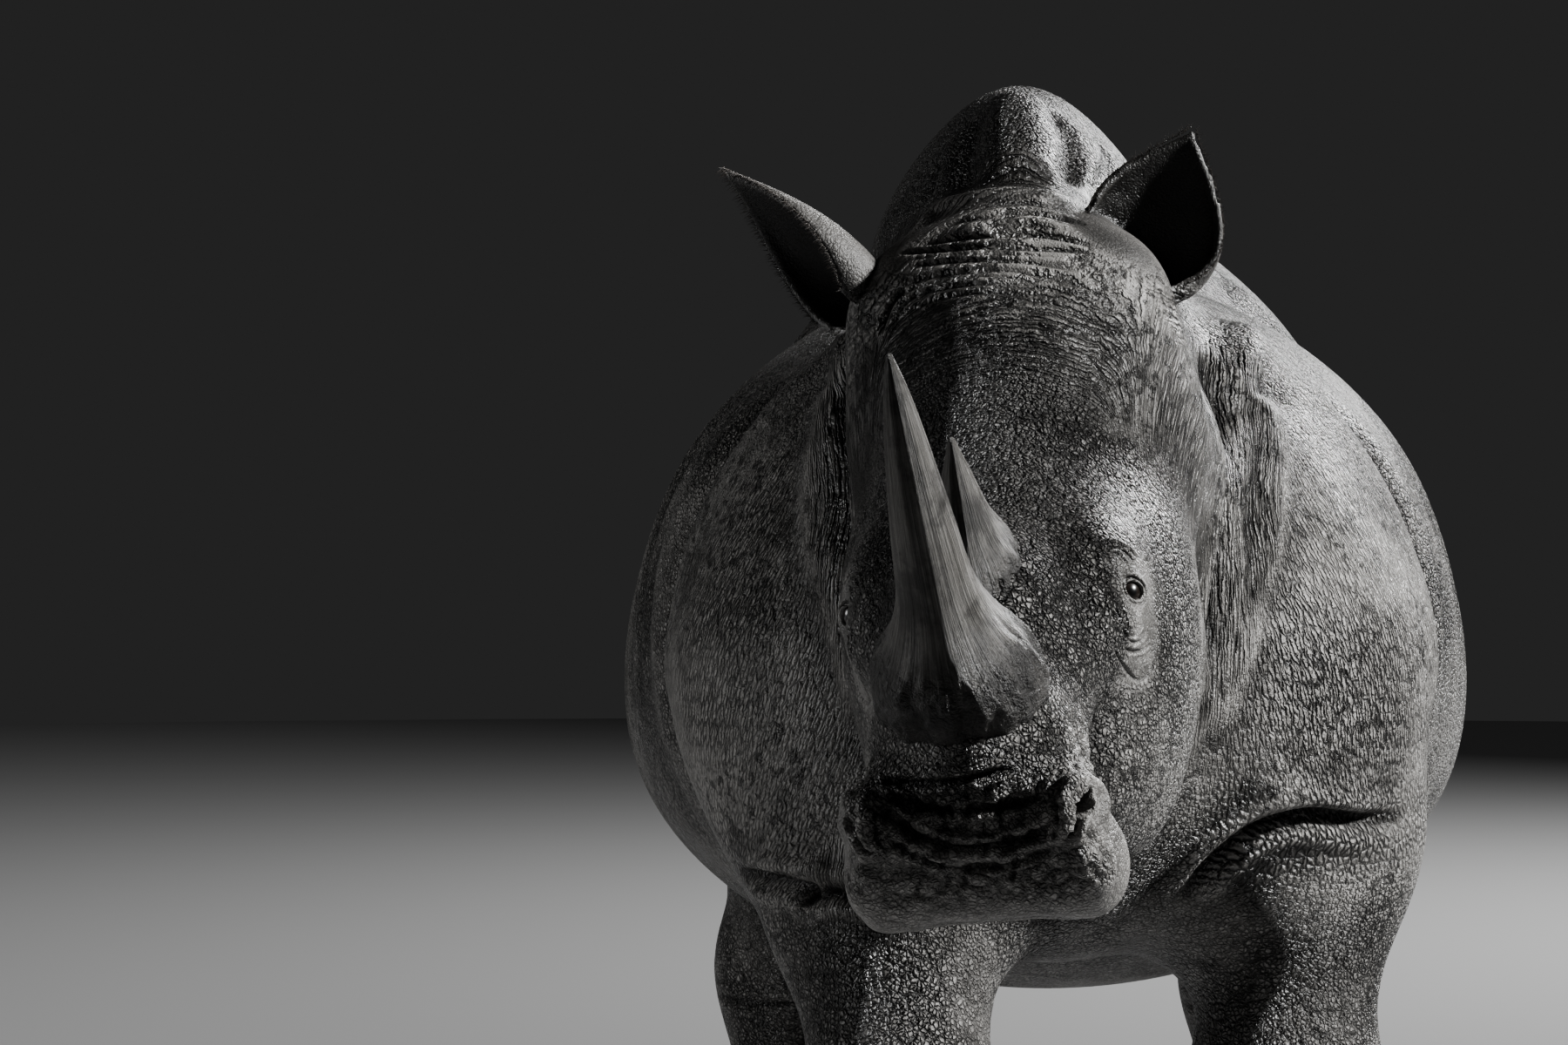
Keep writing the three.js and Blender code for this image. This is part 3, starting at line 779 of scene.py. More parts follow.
def lid(form, side, spec):
    out, along, across = eyeAxes(side)
    away = form.points - eyeSeat(side)
    chosen = np.flatnonzero((np.linalg.norm(away, axis=1) < 70) & (away @ out > -30))
    away = away[chosen]
    height, u, w = away @ out, away @ along, away @ across
    radius = spec["radius"]
    k = np.sqrt((u / spec["half"][0]) ** 2 + (w / spec["half"][1]) ** 2)
    flat = u**2 + w**2
    under = np.sqrt(np.maximum(radius**2 - flat, 4)) - 2.5  # inside the eyeball's front
    # the lids stop falling away just past the opening, and are heavier above the eye
    rim = flat / np.maximum(k, 0.5) ** 2 * np.minimum(k, 1.1) ** 2
    cover = radius + spec["lid"] - rim / (2 * radius + 2 * spec["lid"])
    heavy = np.where(w > u, 1.6, 0.9)
    edge = 1.2 * np.exp(-(((k - 1.18) / 0.13) ** 2))
    groove = 2.0 * np.exp(-(((k - 1.5) / 0.13) ** 2))
    cover = cover + heavy * (edge - groove)
    cover = cover + heavy * 1.2 * np.exp(-(((k - 1.85) / 0.18) ** 2))
    target = under + (cover - under) * smoothStep(0.93, 1.04, k)
    share = 1 - smoothStep(1.25, 2.7, k)
    form.points[chosen] += out * ((target - height) * share)[:, None]


def sink(form, centre, out, along, half, deep):  # a steep-sided hollow
    across = np.cross(out, along)
    away = form.points - centre
    chosen = np.flatnonzero(np.linalg.norm(away, axis=1) < 3 * max(half))
    away = away[chosen]
    k = np.sqrt((away @ along / half[0]) ** 2 + (away @ across / half[1]) ** 2)
    form.points[chosen] -= out * (deep * (1 - smoothStep(0.7, 1.2, k)))[:, None]


nostril = {
    "pixel": (1244, 927),
    "half": (15, 10),
    "deep": 30,
    "out": (0.75, 0.6, 0.1),
    "along": (0.5, -0.75, 0.2),
    "folds": [
        ("roll", 11, 9, [(1218, 912), (1230, 900), (1248, 898), (1261, 908), (1267, 926), (1265, 948)]),
        ("roll", 9, 8, [(1216, 908), (1223, 922), (1223, 940), (1218, 962)]),
        ("crease", 6, 16, [(1254, 904), (1246, 920), (1239, 936), (1233, 950), (1228, 964)]),
        ("crease", 4, 4, [(1210, 912), (1213, 930), (1211, 950), (1208, 966)]),
    ],
}
# Places in the head frame, on its left or middle, each with its reach
finePlaces = [(150, 490, 25, 100), (120, 815, 15, 62)]  # eye, nostril
napePlaces = [(0, -30, 190, 200)]


def closest(p, places):  # distance to the nearest of the places or their twins, in shares of its reach
    h = toHead(p)
    away = [(h * [side, 1, 1] - at[:3]) / at[3] for at in places for side in (1, -1)]
    return np.min([np.linalg.norm(one, axis=1) for one in away], axis=0)


cobbles = {
    "cell": (27, 34, 25), "high": 4.6, "warp": 7,
    "from": (650, 745),  # where they set in along the head
    "under": (70, 120),  # where they end below the horn
    "above": (-60, -10),  # where they fade out towards the lower lip
    "smooth": [(125, 815, -60, 78), (128, 835, 22, 52)],  # lip pads and nostrils
}
mouth = {
    "wide": 7, "deep": 12, "lip": 3, "fade": 0.1,
    "path": [(0, 838, -86), (76, 832, -84), (110, 790, -84), (118, 735, -90)],
}


def cobbleMuzzle(form, spec):
    h = toHead(form.points)
    chosen = np.flatnonzero((h[:, 1] > spec["from"][0]) & (h[:, 2] < spec["under"][1]))
    h = h[chosen]
    warp = spec["warp"] * np.column_stack([softNoise(h / 30, 51 + k) for k in range(3)])
    cell = cracks((h + warp) / np.array(spec["cell"]), 61)
    share = smoothStep(*spec["from"], h[:, 1]) * (1 - smoothStep(*spec["under"], h[:, 2]))
    share = share * smoothStep(*spec["above"], h[:, 2])
    share = share * smoothStep(0.7, 1.2, closest(form.points[chosen], spec["smooth"]))
    form.push(chosen, share * spec["high"] * (smoothStep(0, 0.36, cell) - 0.8))


def carveMuzzle(form):
    centre = seen(form, [nostril["pixel"]])[0]
    carve(form, {"nostril": nostril["folds"]}, ["nostril"])
    for side, at in ((1, centre), (-1, mirrored(centre[None])[0])):
        sink(form, at, *surfaceAxes(nostril, side), nostril["half"], nostril["deep"])
        path = fromHead(sided(mouth["path"], side))
        crease(form, form.snapped(path), mouth["wide"], mouth["deep"], mouth["lip"], mouth["fade"])


elbowFolds = {"elbows": [
    ("roll", 34, 10, [(1430, 900), (1490, 904), (1540, 910), (1590, 904)]),
    ("crease", 17, 22, [(1352, 1040), (1385, 1000), (1424, 966), (1460, 947), (1497, 938), (1530, 941),
                        (1570, 944), (1616, 934)]),
    ("roll", 26, 9, [(870, 985), (910, 995), (950, 998)]),
    ("crease", 13, 20, [(848, 1000), (887, 1012), (930, 1021), (968, 1026), (1015, 1034)]),
]}


def triangles(mesh, chosen=None):
    sizes = np.empty(len(mesh.polygons), np.int32)
    mesh.polygons.foreach_get("loop_total", sizes)
    if chosen is None:
        return int((sizes - 2).sum())
    starts = np.empty(len(mesh.polygons), np.int32)
    mesh.polygons.foreach_get("loop_start", starts)
    corners = np.empty(len(mesh.loops), np.int32)
    mesh.loops.foreach_get("vertex_index", corners)
    return int((sizes - 2)[chosen[corners[starts]]].sum())


def thinned(thing, chosen, wanted):  # fewer faces where the points are chosen, to a number in all
    group = thing.vertex_groups.new(name="thin")
    group.add([int(i) for i in np.flatnonzero(chosen)], 1.0, "REPLACE")
    modifier = thing.modifiers.new("thin", "DECIMATE")
    modifier.ratio = wanted / triangles(thing.data)
    modifier.vertex_group = "thin"
    settled(thing)
    thing.vertex_groups.clear()


skin, earWalls = firstSkin(skinShape)
print("skin remeshed", len(skin.data.vertices))
writePoints(skin.data, drawnOntoFlesh(readPoints(skin.data).astype(float), skinShape))
print("skin drawn onto the flesh")
spots = legPoints(skin)
onFace = toHead(spots)[:, 1] > skinShape["fine"]
finer(skin, onFace | (offFlesh(spots) > 0.3) | (closest(spots, napePlaces) < 1))
finer(skin, closest(legPoints(skin), finePlaces) < 1)
spots = readPoints(skin.data).astype(float)
writePoints(skin.data, drawnOntoEars(spots, earWalls, offFlesh(toLeg(spots)), skinShape["earReach"]))
print("face and ears made finer", len(skin.data.vertices))
form = Form(skin)
foldBody(form, bodyFolds, ribs, cleft)
foldLegs(form, legCreases)
for side in (1, -1):
    lid(form, side, eyeShape)
form.keep()
carve(form, faceFolds, ["eye", "lipPad", "neck"])
carve(form, elbowFolds)
cobbleMuzzle(form, cobbles)
form.keep()
carveMuzzle(form)
form.keep()
print("folds carved")

# Zones of the skin, which the hide's pattern reads
# Smooth skin of the lip pads, nostrils and eyes: places in the head frame, each with its reach
sleekPlaces = [(130, 815, -60, 80), (132, 835, 25, 56), (156, 482, 58, 56), (165, 510, 0, 56)]
# Where the neck's rings end: height and y, in the leg frame
neckEnd = [(900, -330), (1000, -315), (1100, -288), (1240, -204), (1321, -112), (1392, -48), (1480, -90),
           (1560, -330), (1620, -440)]


def hollows(mesh, rounds=3):  # how far each point lies below its neighbours' mean, in millimetres
    points, out = readPoints(mesh).astype(float) * 1000, readNormals(mesh).astype(float)
    ends = np.empty(len(mesh.edges) * 2, np.int32)
    mesh.edges.foreach_get("vertices", ends)
    a, b = ends[::2], ends[1::2]
    count = np.bincount(ends, minlength=len(points))[:, None]
    mean = points
    for _ in range(rounds):
        total = np.zeros_like(points)
        for axis in range(3):
            total[:, axis] = np.bincount(a, mean[b, axis], len(points))
            total[:, axis] += np.bincount(b, mean[a, axis], len(points))
        mean = total / np.maximum(count, 1)
    return ((mean - points) * out).sum(1)


def markZones(thing):
    p = legPoints(thing)
    h = toHead(p)
    x, y, z = p[:, 0], p[:, 1], p[:, 2]
    onHead = smoothStep(-80, 180, h[:, 1]) * (1 - smoothStep(120, 230, np.abs(h[:, 0])))
    onHead = onHead * smoothStep(-120, 0, h[:, 2])
    outward = np.sqrt(x**2 + 60**2) * (1 - smoothStep(1350, 1600, z))
    sideways = 1 - smoothStep(1200, 1450, z)
    neckRing = -450 - y * (1 - 0.45 * sideways) - outward * (1 + 0.3 * sideways)
    neckAround = np.arctan2(x + 15, z - 1240)
    ring = neckRing + (h[:, 1] - neckRing) * onHead
    around = (neckAround + (np.arctan2(h[:, 0], h[:, 2] + 90) - neckAround) * onHead) * 210
    # longer wrinkles on the nape
    around = around * (0.3 + 0.7 * smoothStep(0.6, 1.5, closest(p, napePlaces)))
    legs = 1 - smoothStep(700, 800, z + 0.12 * np.maximum(0, -y))
    front = 1 - smoothStep(-18, 22, y - np.interp(z, *np.array(neckEnd).T))
    bony = smoothStep(150, 300, h[:, 1] + 0.9 * np.minimum(0, h[:, 2]))
    neck = front * (1 - legs) * (1 - bony)
    rows = smoothStep(100, 240, np.abs(x)) * (1 - smoothStep(0, 220, y)) * (1 - front) * (1 - legs)
    rows = rows * (1 - smoothStep(1180, 1420, z))
    beads = 1 - smoothStep(760, 960, z)
    muzzle = smoothStep(640, 740, h[:, 1]) * (1 - smoothStep(60, 120, h[:, 2]))
    none = np.zeros(len(p))
    ears, blade, earInsideShade, earRing, earAround = [none] * 5
    normals = readNormals(thing.data).astype(float)
    for side in ("left", "right"):
        up, across, out = earAxes(earShape[side])
        away = p - np.array(earShape[side]["base"])
        t = away @ up
        off = np.linalg.norm(away - t[:, None] * up, axis=1)
        here = smoothStep(-40, 30, t) * (1 - smoothStep(90, 130, off))
        earRing = np.where(here > 0, t, earRing)
        earAround = np.where(here > 0, np.arctan2(away @ across, -(away @ out)) * 50, earAround)
        ears = np.maximum(ears, here * (1 - smoothStep(40, 85, t)))
        sheet = smoothStep(35, 85, t) * (1 - smoothStep(110, 150, off))
        blade = np.maximum(blade, sheet)
        # the ears' insides, which the hide darkens as painted shade
        earInsideShade = np.maximum(earInsideShade, sheet * smoothStep(0.1, 0.6, normals @ out))
    # the hump's top, which the hide darkens as painted shade
    upper = smoothStep(1380, 1540, z) * smoothStep(-560, -430, y) * (1 - smoothStep(100, 600, y))
    brow = smoothStep(60, 160, h[:, 1]) * (1 - smoothStep(560, 660, h[:, 1])) * smoothStep(60, 150, h[:, 2])
    shoulder = smoothStep(1150, 1350, z) * smoothStep(150, 330, x) * (1 - smoothStep(200, 500, y))
    zones = {
        "upper": upper,
        "neck": neck * (1 - ears) * (1 - blade),
        "rows": rows * (1 - ears),
        "beads": beads,
        "muzzle": muzzle,
        "ears": ears,
        "blade": blade,
        "earInsideShade": earInsideShade,
        # how deep each point lies in a hollow; the hide paints shade into the hollows from it and lightens
        # the ridges
        "cavity": np.clip(hollows(thing.data) / 2.2, -1, 1),
        "sleek": np.maximum(blade, 1 - smoothStep(0.6, 1.4, closest(p, sleekPlaces))),
        # the brow and the shoulder's top: where crumbs of real mud lie, and where the hide paints shade
        "muddyAndShaded": np.maximum(brow, shoulder * 0.7) * (1 - blade),
    }
    for name, value in zones.items():
        thing.data.attributes.new(name, "FLOAT", "POINT").data.foreach_set("value", value.astype(np.float32))
    slant = 0.85 * (np.abs(x) + y) + 0.28 * z
    ways = {"ringWay": (ring, around), "rowWay": (slant, z), "earWay": (earRing, earAround)}
    for name, pair in ways.items():
        way = thing.data.attributes.new(name, "FLOAT_VECTOR", "POINT")
        way.data.foreach_set("vector", (np.stack([*pair, none], 1) / 1000).astype(np.float32).ravel())


# Shader building
def shaderTree(name):
    material = bpy.data.materials.new(name)
    material.use_nodes = True
    return material, material.node_tree, material.node_tree.nodes["Principled BSDF"]


def feed(tree, socket, value):
    if isinstance(value, bpy.types.NodeSocket):
        tree.links.new(value, socket)
    else:
        socket.default_value = value


def knot(tree, kind, result=0, settings=None, **inputs):
    node = tree.nodes.new("ShaderNode" + kind)
    for key, value in (settings or {}).items():
        setattr(node, key, value)
    for key, value in inputs.items():
        feed(tree, node.inputs[int(key[1:]) if key[1:].isdigit() else key], value)
    return node.outputs[result]


def maths(tree, action, a, b=0.5, c=0.5):
    return knot(tree, "Math", settings={"operation": action}, i0=a, i1=b, i2=c)


def vectorMaths(tree, action, a, b, c=(0, 0, 0)):
    return knot(tree, "VectorMath", settings={"operation": action}, i0=a, i1=b, i2=c)


def product(tree, *values):
    return reduce(lambda a, b: maths(tree, "MULTIPLY", a, b), values)


def highest(tree, *values):
    return reduce(lambda a, b: maths(tree, "MAXIMUM", a, b), values)


def plus(tree, a, share, b):  # a times its share, on top of b
    return maths(tree, "MULTIPLY_ADD", a, share, b)


def zone(tree, name):
    return knot(tree, "Attribute", "Fac", settings={"attribute_name": name})


def stretched(tree, vector, scale):
    return knot(tree, "Mapping", Vector=vector, Scale=scale)


def noiseOf(tree, vector, scale, detail=4.0, roughness=0.55, distortion=0.0):
    return knot(tree, "TexNoise", "Fac", Vector=vector, Scale=scale, Detail=detail,
                Roughness=roughness, Distortion=distortion)


def bordersOf(tree, vector, scale=1.0, flat=False):
    settings = {"feature": "DISTANCE_TO_EDGE", "voronoi_dimensions": "2D" if flat else "3D"}
    return knot(tree, "TexVoronoi", "Distance", settings=settings, Vector=vector, Scale=scale)


def blended(tree, factor, a, b):
    return knot(tree, "Mix", settings={"data_type": "FLOAT"}, Factor=factor, A=a, B=b)


def tinted(tree, factor, a, b):
    return knot(tree, "Mix", 2, {"data_type": "RGBA"}, i0=factor, i6=a, i7=b)


def ranged(tree, value, low, high, a=0.0, b=1.0):
    return knot(tree, "MapRange", settings={"interpolation_type": "SMOOTHSTEP"},
                i0=value, i1=low, i2=high, i3=a, i4=b)


def bumped(tree, surface, relief, reach, strength=1.0):
    bump = knot(tree, "Bump", "Normal", Height=relief, Strength=strength, Distance=reach)
    feed(tree, surface.inputs["Normal"], bump)


hideLook = {
    "pale": (0.18, 0.174, 0.166, 1),
    "dark": (0.095, 0.092, 0.087, 1),
    # near black, for the real cracks between plates and for painted shade in hollows and inside the ears
    "crackAndShade": (0.009, 0.0085, 0.008, 1),
    "dust": (0.34, 0.33, 0.315, 1),
    # near black, for crumbs of real mud and for painted shade on the hump, ear blades, brow and shoulder
    "mudAndShade": (0.016, 0.015, 0.014, 1),
    "relief": 0.007,  # metres that the bump stands for, here and below
}


def hideMaterial(look):
    material, tree, surface = shaderTree("hide")
    here = knot(tree, "TexCoord", "Object")
    wobble = knot(tree, "TexNoise", "Color", Vector=here, Scale=95.0, Detail=2.0, Roughness=0.6)
    centred = vectorMaths(tree, "SUBTRACT", wobble, (0.5, 0.5, 0.5))

    def shaken(vector, amount):
        return vectorMaths(tree, "MULTIPLY_ADD", centred, amount, vector)

    def lined(name, amount, scale, reach, low=0.0):  # wrinkles that follow a way over the skin
        along = knot(tree, "Attribute", "Vector", settings={"attribute_name": name})
        cells = bordersOf(tree, stretched(tree, shaken(along, amount), scale), flat=True)
        return ranged(tree, cells, 0.0, reach, low, 1.0)

    skinPoint = shaken(here, (0.007, 0.007, 0.007))
    pebbles = ranged(tree, bordersOf(tree, skinPoint, 155.0), 0.0, 0.26)
    plates = ranged(tree, bordersOf(tree, skinPoint, 44.0), 0.0, 0.15)
    rings = lined("ringWay", (0.007, 0.016, 0), (185, 24, 1), 0.28)
    ringsWide = lined("ringWay", (0.01, 0.02, 0), (58, 13, 1), 0.22)
    rows = lined("rowWay", (0.009, 0.016, 0), (145, 34, 1), 0.27)
    rows = product(tree, rows, lined("rowWay", (0.008, 0.012, 0), (95, 88, 1), 0.26, 0.5))
    beads = lined("rowWay", (0.008, 0.008, 0), (98, 80, 1), 0.42)
    earRings = lined("earWay", (0.007, 0.016, 0), (135, 22, 1), 0.36)
    fine = noiseOf(tree, here, 420.0, 2.0, 0.6)
    patches = noiseOf(tree, here, 6.0, 4.0, 0.6)
    hollow = zone(tree, "cavity")

    rows = blended(tree, zone(tree, "beads"), rows, beads)
    cells = blended(tree, zone(tree, "neck"), pebbles, rings)
    cells = blended(tree, zone(tree, "rows"), cells, rows)
    cells = blended(tree, zone(tree, "ears"), cells, earRings)
    wide = blended(tree, zone(tree, "neck"), plates, ringsWide)
    wide = blended(tree, zone(tree, "rows"), wide, 1.0)

    # dried mud lies in crumbs, most of it where the skin is muddy and none where it is sleek
    muddyAndShaded = zone(tree, "muddyAndShaded")
    crumbs = ranged(tree, plus(tree, muddyAndShaded, 0.05, noiseOf(tree, here, 60.0, 5.0, 0.66, 0.5)), 0.56, 0.6)
    spread = ranged(tree, plus(tree, muddyAndShaded, 0.12, noiseOf(tree, here, 4.6, 2.0)), 0.42, 0.56)
    soft = highest(tree, zone(tree, "sleek"), product(tree, zone(tree, "muzzle"), 0.6))
    crumbs = product(tree, crumbs, spread, maths(tree, "SUBTRACT", 1.0, soft))
    calm = product(
        tree,
        ranged(tree, noiseOf(tree, here, 5.0, 3.0, 0.6), 0.38, 0.62, 0.45, 1.0),
        ranged(tree, soft, 0.0, 1.0, 1.0, 0.16),
        ranged(tree, zone(tree, "blade"), 0.0, 1.0, 1.0, 0.4),
        ranged(tree, zone(tree, "upper"), 0.0, 1.0, 1.0, 0.6),
    )
    relief = product(tree, plus(tree, wide, 0.8, cells), calm)
    relief = plus(tree, fine, 0.22, relief)
    relief = plus(tree, crumbs, 0.7, relief)

    colour = tinted(tree, ranged(tree, patches, 0.36, 0.66), look["dark"], look["pale"])
    # lighter on ridges, where the skin stands above its neighbours, and in random powdery patches
    ridgeLift = product(tree, ranged(tree, hollow, 0.0, -0.5), 0.35)
    powder = ranged(tree, noiseOf(tree, here, 17.0, 5.0, 0.65), 0.5, 0.75, 0.0, 0.45)
    colour = tinted(tree, maths(tree, "ADD", ridgeLift, powder), colour, look["dust"])
    colour = tinted(tree, product(tree, crumbs, 0.85), colour, look["mudAndShade"])
    # painted shade: the hump and the ear blades darken towards the mud colour, and so do the brow and the
    # shoulder's top, where real mud and painted shade mix
    shady = [product(tree, zone(tree, name), share)
             for name, share in (("upper", 0.85), ("blade", 0.5), ("muddyAndShaded", 0.58))]
    colour = tinted(tree, highest(tree, *shady), colour, look["mudAndShade"])
    raised = product(tree, ranged(tree, cells, 0.0, 0.55), ranged(tree, wide, 0.0, 0.5, 0.2))
    raised = blended(tree, ranged(tree, calm, 0.2, 1.0, 0.55, 0.0), raised, 1.0)
    # painted shade: the deeper a point lies in a hollow, the nearer its colour comes to the crack colour
    raised = product(tree, raised, ranged(tree, hollow, 0.05, 0.9, 1.0, 0.25))
    colour = tinted(tree, raised, look["crackAndShade"], colour)
    # painted shade: the inside of each ear darkened towards the crack colour
    colour = tinted(tree, product(tree, zone(tree, "earInsideShade"), 0.8), colour, look["crackAndShade"])
    feed(tree, surface.inputs["Base Color"], colour)
    feed(tree, surface.inputs["Roughness"], ranged(tree, patches, 0.3, 0.7, 0.32, 0.5))
    surface.inputs["Specular IOR Level"].default_value = 0.45
    bumped(tree, surface, relief, look["relief"])
    return material


# The body is thinned first, then the head and neck, but not the eyes and nostrils
spots = legPoints(skin)
onBody = (toHead(spots)[:, 1] < 200) & (offFlesh(spots) < 0.1) & (closest(spots, napePlaces) > 1)
rest = triangles(skin.data, ~onBody)
print("triangles before thinning", triangles(skin.data), "head", rest)
thinned(skin, onBody, rest + skinShape["body"])
spots = legPoints(skin)
thinned(skin, (toHead(spots)[:, 1] > -250) & (closest(spots, finePlaces) > 0.9), skinShape["all"])
print("skin thinned", triangles(skin.data))
markZones(skin)
skin.data.materials.clear()
skin.data.materials.append(hideMaterial(hideLook))
skin.data.shade_smooth()
print("hide finished")

# Horns, in the head frame
hornShape = {
    "around": 128,
    "along": 260,
    # stations: along the head, up, half width, half length
    "front": {"node": "horn_front", "lean": -0.006, "stations": [
        (738, 112, 90, 84), (748, 165, 98, 93), (756, 208, 90, 88), (757, 248, 66, 70), (755, 305, 46, 52),
        (750, 395, 36, 42), (742, 485, 25, 30), (731, 565, 13, 16), (724, 605, 4, 5)]},
    "rear": {"node": "horn_rear", "lean": 0.036, "stations": [
        (562, 130, 62, 70), (561, 195, 54, 62), (558, 240, 35, 44), (553, 295, 19, 24), (547, 350, 4, 5)]},
    "sunk": 30,  # how far the root goes on into the head
    "ridges": 1.6,
    "lumps": 10,
    "seeds": (31, 33, 35),  # lumps, waves, ridges
}


def hornPiece(name, spec, shape):
    rows = np.array(spec["stations"], float)
    root = rows[0] - np.array([0, shape["sunk"], 0, 0])
    rows = np.vstack([root, rows])
    tube = bmesh.new()
    bmesh.ops.create_grid(tube, x_segments=shape["around"], y_segments=shape["along"], size=1)
    tube.verts.ensure_lookup_table()
    unitPlace = np.array([v.co[:2] for v in tube.verts])
    turn, t = unitPlace[:, 0] * math.pi, (unitPlace[:, 1] + 1) / 2
    q, z, wide, long = through(rows, t).T
    tipFade = 1 - smoothStep(0.82, 1.0, t)
    base = 1 - smoothStep(0.30, 0.52, t)
    grain = np.column_stack([np.cos(turn) * 2.2, np.sin(turn) * 2.2, t * 3.0])
    fibres = np.column_stack([np.cos(turn) * 16, np.sin(turn) * 16, t * 2.0])
    lumps, waves, ridges = shape["seeds"]
    lump = shape["lumps"] * base * layered(grain * 2.3, lumps) + 2.0 * layered(grain * 0.8, waves) * tipFade
    ridge = shape["ridges"] * tipFade * (0.5 + base) * layered(fibres, ridges)
    grow = 1 + (lump + ridge) / np.maximum(wide, 12)
    across = spec["lean"] * (z - rows[1, 1]) + wide * grow * np.sin(turn)
    place = fromHead(np.column_stack([across, q + long * grow * np.cos(turn), z]))
    for v, co in zip(tube.verts, fromLeg(place)):
        v.co = co
    fibre = tube.verts.layers.float_vector.new("fibre")
    rough = tube.verts.layers.float.new("boss")
    for v, around, up, bossy in zip(tube.verts, turn, t, base):
        v[fibre] = (math.cos(around), math.sin(around), up)
        v[rough] = bossy
    bmesh.ops.remove_doubles(tube, verts=tube.verts, dist=1e-5)
    rims = [e for e in tube.edges if e.is_boundary]
    bmesh.ops.holes_fill(tube, edges=rims, sides=0)
    bmesh.ops.recalc_face_normals(tube, faces=tube.faces)
    return smoothPiece(name, tube)


hornLook = {
    "pale": (0.17, 0.164, 0.153, 1),
    "mid": (0.055, 0.052, 0.048, 1),
    "dark": (0.012, 0.011, 0.010, 1),
    "relief": 0.005,
}


def hornMaterial(look):
    material, tree, surface = shaderTree("horn")
    here = knot(tree, "TexCoord", "Object")
    fibre = knot(tree, "Attribute", "Vector", settings={"attribute_name": "fibre"})
    strands = noiseOf(tree, stretched(tree, fibre, (26, 26, 5)), 1.0, 5.0, 0.65)
    wide = noiseOf(tree, stretched(tree, fibre, (7, 7, 2.2)), 1.0, 4.0, 0.6)
    blotch = noiseOf(tree, here, 26.0, 5.0, 0.65, 0.5)
    pits = noiseOf(tree, here, 150.0, 4.0, 0.65)
    boss = zone(tree, "boss")
    worn = ranged(tree, maths(tree, "ADD", wide, product(tree, strands, 0.5)), 0.55, 0.95)
    stained = product(tree, ranged(tree, blotch, 0.38, 0.56), product(tree, boss, 0.95))
    patina = product(tree, ranged(tree, noiseOf(tree, here, 11.0, 5.0, 0.68), 0.45, 0.62), 0.75)
    streaks = ranged(tree, strands, 0.3, 0.5, 0.55, 0.0)
    colour = tinted(tree, worn, look["mid"], look["pale"])
    # the boss, the horn's base, is also darkened all over: partly real dirt, partly painted shade
    for darker in (stained, patina, streaks, product(tree, boss, 0.72)):
        colour = tinted(tree, darker, colour, look["dark"])
    feed(tree, surface.inputs["Base Color"], colour)
    feed(tree, surface.inputs["Roughness"], ranged(tree, blotch, 0.4, 0.65, 0.38, 0.6))
    surface.inputs["Specular IOR Level"].default_value = 0.5
    relief = product(tree, strands, ranged(tree, boss, 0.0, 1.0, 1.0, 0.35))
    relief = plus(tree, product(tree, pits, boss), 1.6, relief)
    relief = plus(tree, product(tree, blotch, boss), 3.0, relief)
    bumped(tree, surface, relief, look["relief"])
    return material


hornFibre = hornMaterial(hornLook)
for which in ("front", "rear"):
    horn = hornPiece(f"horn_{which}_fibres", hornShape[which], hornShape)
    horn.data.materials.append(hornFibre)
    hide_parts(hornShape[which]["node"])
    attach(horn, "root")
print("horns grown")

# Eyes
eyeLook = {
    "pupil": (0.002, 0.002, 0.002, 1),
    "iris": (0.007, 0.005, 0.004, 1),
    "rim": (0.012, 0.008, 0.006, 1),
    "white": (0.02, 0.016, 0.014, 1),
    "angles": (0.24, 0.30, 0.62, 0.72),  # radians: pupil's end, iris, its end, white
    "bulge": 0.07,
    "bulgeAngle": 0.55,
}


def eyePiece(side, label):
    globe = bmesh.new()
    bmesh.ops.create_uvsphere(globe, u_segments=64, v_segments=40, radius=1)
    gaze = Vector(headWay(eyeShape["gaze"], side))
    turn = Vector((0, 0, 1)).rotation_difference(gaze).to_matrix()
    look = globe.verts.layers.float.new("look")
    seat = eyeSeat(side)
    for v in globe.verts:
        angle = math.acos(max(-1, min(1, v.co.z)))
        bulge = 1 + eyeLook["bulge"] * math.exp(-((angle / eyeLook["bulgeAngle"]) ** 2))
        v[look] = angle
        v.co = Vector(fromLeg(seat + np.array(turn @ v.co) * eyeShape["radius"] * bulge))
    return smoothPiece(f"eyeball_{label}", globe)


def eyeMaterial(look):
    material, tree, surface = shaderTree("eye")
    here = knot(tree, "TexCoord", "Object")
    angle = zone(tree, "look")
    streak = noiseOf(tree, here, 700.0, 3.0)
    pupil, iris, irisEnd, white = look["angles"]
    ring = tinted(tree, streak, look["iris"], look["rim"])
    colour = tinted(tree, ranged(tree, angle, pupil, iris), look["pupil"], ring)
    colour = tinted(tree, ranged(tree, angle, irisEnd, white), colour, look["white"])
    feed(tree, surface.inputs["Base Color"], colour)
    surface.inputs["Roughness"].default_value = 0.28
    surface.inputs["Coat Weight"].default_value = 0.25
    surface.inputs["Coat Roughness"].default_value = 0.05
    return material


eyeGloss = eyeMaterial(eyeLook)
for side, label in ((1, "left"), (-1, "right")):
    eyeball = eyePiece(side, label)
    eyeball.data.materials.append(eyeGloss)
    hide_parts(f"eye_{label}")
    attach(eyeball, "root")
print("eyes set")

# Toenails
nailLook = {"pale": (0.30, 0.28, 0.25, 1), "dark": (0.07, 0.064, 0.056, 1), "relief": 0.003}
nailEdge = 0.006


